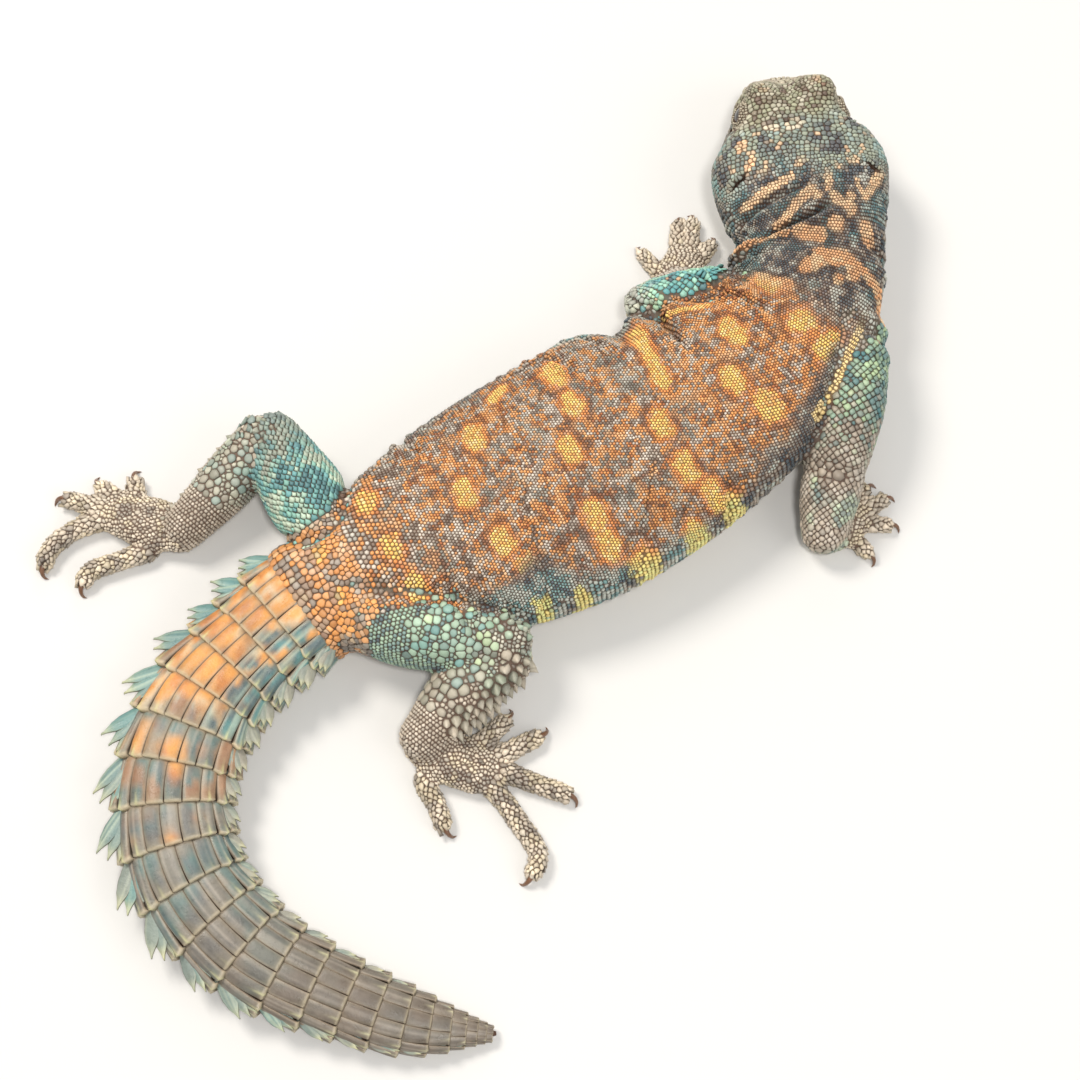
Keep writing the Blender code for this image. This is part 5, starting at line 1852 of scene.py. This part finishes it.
        c, pick = palette(), rng.random((3, count, 1))
        streak = np.tile(rng.random((count, len(PLATE_COLUMNS))), (1, len(PLATE_ROWS)))
        shape = (count, u.shape[1])
        base = mix(c["teal"] * 0.72, c["slate"] * 0.9, np.broadcast_to(0.15 + 0.4 * pick[0], shape))
        base = mix(base, c["jade"] * 0.5 + c["ash"] * 0.4, 0.12 + 0.5 * fade(0.5, 0.95, streak))
        grey = np.where(left[:, None], 0.6 * pick[1] * fade(0.1, 0.6, end), 0.35 + 0.4 * pick[1])
        base = mix(base, c["stone"] * 0.7 + c["sand"] * 0.2, np.broadcast_to(grey, shape))
        cream = np.broadcast_to(fade(0.62, 0.97, u) * (0.4 + 0.45 * pick[2]), shape)
        base = mix(base, c["lemon"] * 0.45 + c["ash"] * 0.45, cream)
        dark = np.broadcast_to(np.maximum(fade(0.90, 1.0, np.abs(v)) * fade(1.0, 0.7, u), fade(0.06, 0.0, u)), shape)
        base = mix(base, c["umber"] * 0.75, 0.75 * dark)
        middle = np.full(count, (start + stop) / 2)
        bake = unwrap(tube, middle, angle)[:, None] * 0.98 + 0.01
        local = np.column_stack([v[0], u[0] * 2 - 1]) * BAKE_PATCH / 2
        return points, base, np.broadcast_to(edge * 1.0, shape), bake + local[None]

    def tints(self, share, middle, points, u, v, rng):
        """Plate colours: orange over the middle near the body, blue-green on the inner side,
        then grey and brown to the tip. Blotches run on from plate to plate, and the seams and
        rear edges are thin and pale."""
        c = palette()
        shape = points.shape[:2]
        pick = rng.random((3, shape[0], 1))
        streak = np.tile(rng.random((shape[0], len(PLATE_COLUMNS))), (1, len(PLATE_ROWS)))
        flat = points.reshape(-1, 3)
        wide, small = (noise(flat, reach, seed).reshape(shape) for reach, seed in ((4.2, 73), (1.7, 75)))
        aside = np.abs(degrees_from(middle, 90))

        def spread(first, second, amount):
            return mix(first, second, np.broadcast_to(amount, shape))

        warm = spread(c["orange"] * 0.66 + c["yellow"] * 0.26, c["orange"] * 0.5 + c["rust"] * 0.4,
                      0.10 + 0.7 * fade(0.45, 0.75, small))
        warm = spread(warm, c["cream"] * 0.6 + c["sand"] * 0.25, 0.65 * fade(0.50, 0.36, small) * fade(0.4, 0.6, wide))
        warm = spread(warm, c["umber"] * 0.5 + c["slate"] * 0.4, 0.5 * fade(0.60, 0.72, wide) * pick[0])
        cool = spread(c["teal"] * 0.72, c["slate"] * 0.9, 0.15 + 0.7 * fade(0.42, 0.66, small))
        cool = spread(cool, c["jade"] * 0.45 + c["ash"] * 0.5, 0.05 + 0.6 * fade(0.6, 0.95, streak))
        dull = spread(c["stone"] * 0.68, c["teal"] * 0.55, 0.15 + 0.55 * fade(0.42, 0.62, wide))
        dull = spread(dull, c["slate"] * 0.9, 0.5 * fade(0.48, 0.68, small))
        dull = spread(dull, c["ash"] * 0.9, 0.1 * pick[2] + 0.3 * fade(0.6, 0.95, streak))
        dull = spread(dull, c["orange"] * 0.7, 0.5 * fade(0.62, 0.72, wide) * fade(0.5, 0.35, share))
        brown = spread(c["stone"] * 0.62, c["umber"] * 0.45 + c["sand"] * 0.22, 0.3 + 0.4 * pick[0])
        brown = spread(brown, c["ash"] * 0.85, 0.3 * fade(0.6, 0.95, streak))
        inner = -np.cos(middle) + (wide - 0.5) * 0.7 + (small - 0.5) * 0.5 + 0.3 * share
        base = spread(warm, cool, np.maximum(fade(0.26, 0.52, inner), fade(-0.70, -0.95, inner) * 0.75))
        base = spread(base, dull, fade(0.24, 0.36, share + (wide - 0.5) * 0.4))
        base = spread(base, brown, float(fade(0.5, 0.78, share)) * 0.85)
        base = spread(base, c["cream"] * 0.5 + c["ash"] * 0.5, fade(114, 134, aside) * 0.85)
        frame = fade(0.5, 0.89, np.sqrt(v**4 + (np.abs(u - 0.47) * 2.1) ** 4))
        base = spread(base, c["cream"] * 0.45 + c["stone"] * 0.3, frame * (0.45 - 0.3 * share))
        base = base * (1.0 - 0.16 * pick[1] - 0.14 * fade(0.4, 0.9, u) - 0.08 * fade(0.5, 0.8, share))[..., None]
        seam = np.maximum(fade(0.89, 0.96, np.abs(v)), fade(0.08, 0.0, u))
        base = spread(base, c["umber"] * 0.45 + c["sand"] * 0.35, 0.75 * seam)
        rear = fade(0.91, 0.975, u) * (0.75 - 0.4 * share)
        base = spread(base, c["cream"] * 0.6 + c["sand"] * 0.25, rear)
        keel = fade(0.6, 0.95, u) * np.exp(-((v / 0.2) ** 2)) * fade(20, 40, aside) * 0.7
        pale = c["lemon"] * (0.8 - 0.5 * share) + c["ash"] * (0.1 + 0.5 * share)
        return spread(base, pale, keel)

    def make(self, name, points, colours, rims, bakes, material):
        """Joins plates that share one grid into a mesh, each closed below by one face."""
        count, size = points.shape[:2]
        rows, columns = len(PLATE_ROWS), len(PLATE_COLUMNS)
        grid = np.arange(size).reshape(rows, columns)
        corners = grid[:-1, :-1], grid[1:, :-1], grid[1:, 1:], grid[:-1, 1:]
        quads = np.column_stack([corner.ravel() for corner in corners])
        loop = [*grid[0, :-1], *grid[:-1, -1], *grid[-1, :0:-1], *grid[:0:-1, 0]]
        faces = []
        for number in range(count):
            faces += (quads + number * size).tolist()
            faces.append([int(i) + number * size for i in loop])
        obj = make_object(name, points.reshape(-1, 3), faces, "tail_scale", material)
        write_attribute(obj, "tint", "FLOAT_COLOR", with_alpha(colours.reshape(-1, 3)))
        write_attribute(obj, "rim", "FLOAT", rims.ravel())
        uv = obj.data.uv_layers.new(name="OFBake")
        order = np.concatenate([np.array(face) for face in faces])
        uv.data.foreach_set("uv", np.ascontiguousarray(bakes.reshape(-1, 2)[order], np.float32).ravel())


class LIZARD_OT_eyes(bpy.types.Operator):
    """Build the eyeballs and eardrums"""

    bl_idname = "lizard.eyes"
    bl_label = "Eyes and eardrums"

    def execute(self, context):
        for side, sign in (("left", 1), ("right", -1)):
            centre, out, ahead, rise = eye_frame(sign)
            ball = self.globe(centre, (ahead, rise, out), (EYE_RADIUS,) * 3, 48, 32)
            obj = make_object(f"eyeball_{side}", *ball, "eye", self.eye_material(side, sign))
            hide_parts(f"eye_{side}")
            run = np.array([EAR_FROM_SNOUT])
            angle = np.array([math.radians(EAR_ANGLE if sign > 0 else 180 - EAR_ANGLE)])
            outward, back, _ = (v[0] for v in body().facing(run, angle))
            middle = body().point(run, angle)[0] - outward * 1.5
            drum = self.globe(middle, (back, np.cross(outward, back), outward), (1.2, 2.2, 0.5), 24, 16)
            material = scaly_material("Eardrum", srgb(62, 44, 34), Rim_shade=0.0, Mottle=0.3,
                                      Grain_depth=0.2, Roughness_low=0.3, Roughness_high=0.5)
            obj = make_object(f"drum_{side}", *drum, "eardrum", material)
            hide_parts(f"eardrum_{side}")
        return {"FINISHED"}

    def globe(self, centre, axes, halves, sides, rings):
        """An ellipsoid: centre plus each axis times its half size times a point on a sphere."""
        turn = np.linspace(0, 2 * math.pi, sides, endpoint=False)
        rise = np.linspace(-math.pi / 2, math.pi / 2, rings + 1)[1:-1]
        turn, rise = (g.ravel() for g in np.meshgrid(turn, rise))
        ball = np.column_stack([np.cos(rise) * np.cos(turn), np.cos(rise) * np.sin(turn), np.sin(rise)])
        ball = np.vstack([ball, [(0, 0, -1), (0, 0, 1)]])
        points = centre + (ball * halves) @ np.array(axes)
        first = np.arange((rings - 2) * sides)
        after = first - first % sides + (first + 1) % sides
        faces = np.column_stack([first, after, after + sides, first + sides]).tolist()
        low, high, last = len(ball) - 2, len(ball) - 1, (rings - 2) * sides
        faces += [(low, (i + 1) % sides, i) for i in range(sides)]
        faces += [(high, last + i, last + (i + 1) % sides) for i in range(sides)]
        if np.linalg.det(np.array(axes)) < 0:
            faces = [tuple(reversed(f)) for f in faces]
        return points, faces

    def eye_material(self, side, sign):
        """A nearly black iris with a round pupil, on the eyeball's own axis."""
        centre, out, _, _ = eye_frame(sign)
        material = bpy.data.materials.new(f"Eye {side}")
        material.use_nodes = True
        tree = material.node_tree
        link = tree.links.new
        shader = tree.nodes["Principled BSDF"]
        shader.inputs["Roughness"].default_value = 0.06
        shader.inputs["Coat Weight"].default_value = 0.6
        shader.inputs["Coat Roughness"].default_value = 0.03
        place = tree.nodes.new("ShaderNodeTexCoord")
        pupil = (centre + out * EYE_RADIUS - (*OUTLINE_MIDDLE, 0)) * MM
        away = add_node(tree, "ShaderNodeVectorMath")
        away.operation = "DISTANCE"
        away.inputs[1].default_value = tuple(pupil)
        link(place.outputs["Object"], away.inputs[0])
        rings = tree.nodes.new("ShaderNodeValToRGB")
        scaled = add_node(tree, "ShaderNodeMath")
        scaled.operation = "MULTIPLY"
        scaled.inputs[1].default_value = 1 / (3.4 * MM)
        link(away.outputs["Value"], scaled.inputs[0])
        link(scaled.outputs[0], rings.inputs["Fac"])
        c = palette()
        stops = ((0.0, c["gap"] * 0.05), (0.27, c["gap"] * 0.05), (0.31, c["iris"] * 0.9),
                 (0.45, c["iris"] * 0.6), (0.62, c["iris"] * 0.3), (0.8, c["gap"] * 0.2))
        while len(rings.color_ramp.elements) < len(stops):
            rings.color_ramp.elements.new(0.5)
        for element, (at, colour) in zip(rings.color_ramp.elements, stops):
            element.position = at
            element.color = (*colour, 1)
        link(rings.outputs["Color"], shader.inputs["Base Color"])
        return material


class LIZARD_OT_claws(bpy.types.Operator):
    """Build the curved claws of the hands and feet"""

    bl_idname = "lizard.claws"
    bl_label = "Claws"

    def execute(self, context):
        material = scaly_material("Claw horn", palette()["horn"], 0.5, 0.3, Rim_shade=0.0,
                                  Mottle=0.45, Mottle_size=500.0, Grain_depth=0.15,
                                  Roughness_low=0.2, Roughness_high=0.4)
        for name, paw in PAWS.items():
            points, faces, start = [], [], 0
            for number in range(5):
                claw_points, claw_faces = self.claw(digit_stations(paw, number), paw["radius"])
                points.append(claw_points)
                faces += [[i + start for i in face] for face in claw_faces]
                start += len(claw_points)
            obj = make_object(f"claws_{name}", np.vstack(points), faces, "claw", material)
            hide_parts(*[f"claw_{name}_{digit}" for digit in DIGIT_NAMES])
        return {"FINISHED"}

    def claw(self, rows, radius):
        """A tube that leaves the digit's end level and hooks down and aside to a point."""
        tip, before = np.array(rows[-1][:3]), np.array(rows[-2][:3])
        ahead = unit((tip - before) * (1, 1, 0))
        earlier = unit((before - np.array(rows[0][:3])) * (1, 1, 0))
        aside = np.cross((0, 0, 1), ahead) * np.sign(np.cross(earlier, ahead)[2] + 0.01)
        share = np.linspace(0, 1, 14)
        step = radius * 2.1 / 13
        heading = 0.15 - 1.9 * share
        forward = np.cumsum(np.cos(heading)) * step
        centres = tip + np.outer(forward, ahead) + np.outer(0.9 * radius * share**2.2, aside)
        centres[:, 2] += np.cumsum(np.sin(heading)) * step + 0.1
        centres[:, 2] = np.maximum(centres[:, 2], 0.16)
        thick = radius * 0.40 * (1 - share) ** 0.65 + 0.05
        rows = [(*centre, t * 0.8, t, t) for centre, t in zip(centres, thick)]
        return closed_tube(Tube(rows, caps=(0.3, 0.12)), 0.25, 14, 0.0)


class LIZARD_OT_stage(bpy.types.Operator):
    """Set the pale floor, the soft lights and the camera"""

    bl_idname = "lizard.stage"
    bl_label = "Stage"

    def execute(self, context):
        turn = np.linspace(0, 2 * math.pi, 65)[:-1]
        ring = np.column_stack([np.cos(turn), np.sin(turn), turn * 0]) * 25.0
        mesh = bpy.data.meshes.new("floor")
        mesh.from_pydata(ring.tolist(), [], [list(range(64))])
        floor = bpy.data.objects.new("floor", mesh)
        context.scene.collection.objects.link(floor)
        material = bpy.data.materials.new("Pale floor")
        material.use_nodes = True
        shader = material.node_tree.nodes["Principled BSDF"]
        shader.inputs["Base Color"].default_value = (0.72, 0.71, 0.69, 1)
        shader.inputs["Roughness"].default_value = 0.9
        mesh.materials.append(material)
        context.scene.view_settings.view_transform = "Standard"
        world = bpy.data.worlds.new("Studio")
        world.use_nodes = True
        world.node_tree.nodes["Background"].inputs["Color"].default_value = (0.95, 0.97, 1.0, 1)
        world.node_tree.nodes["Background"].inputs["Strength"].default_value = 0.42
        context.scene.world = world
        for name, place, size, power, colour in (
            ("key", (-0.55, 0.45, 0.95), 0.42, 9.5, (1.0, 0.95, 0.88)),
            ("fill", (0.9, -0.5, 0.8), 0.9, 3.5, (1.0, 0.98, 0.95)),
            ("front", (0.1, 1.1, 0.5), 0.6, 2.0, (1.0, 0.98, 0.95)),
            ("glint", (0.10, -0.26, 0.86), 0.14, 3.6, (1.0, 0.98, 0.95)),
        ):
            lamp = bpy.data.lights.new(name, "AREA")
            lamp.shape = "DISK"
            lamp.size = size
            lamp.energy = power
            lamp.color = colour
            obj = bpy.data.objects.new(name, lamp)
            obj.location = place
            obj.rotation_euler = (-Vector(place)).to_track_quat("-Z", "Y").to_euler()
            context.scene.collection.objects.link(obj)
        tilt, away = math.radians(20.0), 420.0
        forward = Vector((0, math.sin(tilt), -math.cos(tilt)))
        upward = Vector((0, math.cos(tilt), math.sin(tilt)))
        aim = Vector((-OUTLINE_MIDDLE[0], -OUTLINE_MIDDLE[1], 8.0))
        place = (aim - forward * away) * MM
        lens = bpy.data.cameras.new("camera")
        lens.lens = 72.8
        lens.sensor_width = 36.0
        lens.clip_start = 0.01
        camera = bpy.data.objects.new("camera", lens)
        camera.matrix_world = Matrix((
            (1, upward.x, -forward.x, place.x),
            (0, upward.y, -forward.y, place.y),
            (0, upward.z, -forward.z, place.z),
            (0, 0, 0, 1),
        ))
        context.scene.collection.objects.link(camera)
        context.scene.camera = camera
        return {"FINISHED"}


OPERATORS = (
    LIZARD_OT_skin,
    LIZARD_OT_back_scales,
    LIZARD_OT_head_scales,
    LIZARD_OT_limb_scales,
    LIZARD_OT_tail_plates,
    LIZARD_OT_eyes,
    LIZARD_OT_claws,
    LIZARD_OT_stage,
)


class LIZARD_PT_panel(bpy.types.Panel):
    """Sizes, colours and build steps of the lizard"""

    bl_label = "Lizard"
    bl_idname = "LIZARD_PT_panel"
    bl_space_type = "VIEW_3D"
    bl_region_type = "UI"
    bl_category = "Lizard"

    def draw(self, context):
        for group in (context.scene.lizard_sizes, context.scene.lizard_colours):
            box = self.layout.box()
            for key in group.__annotations__:
                box.prop(group, key)
        for operator in OPERATORS:
            self.layout.operator(operator.bl_idname)


CLASSES = (LizardSizes, LizardColours, *OPERATORS, LIZARD_PT_panel)


def register():
    for cls in CLASSES:
        bpy.utils.register_class(cls)
    bpy.types.Scene.lizard_sizes = PointerProperty(type=LizardSizes)
    bpy.types.Scene.lizard_colours = PointerProperty(type=LizardColours)


def unregister():
    del bpy.types.Scene.lizard_colours
    del bpy.types.Scene.lizard_sizes
    for cls in reversed(CLASSES):
        bpy.utils.unregister_class(cls)


def main():
    register()
    for operator in OPERATORS:
        family, name = operator.bl_idname.split(".")
        getattr(getattr(bpy.ops, family), name)()


if __name__ == "__main__":
    main()
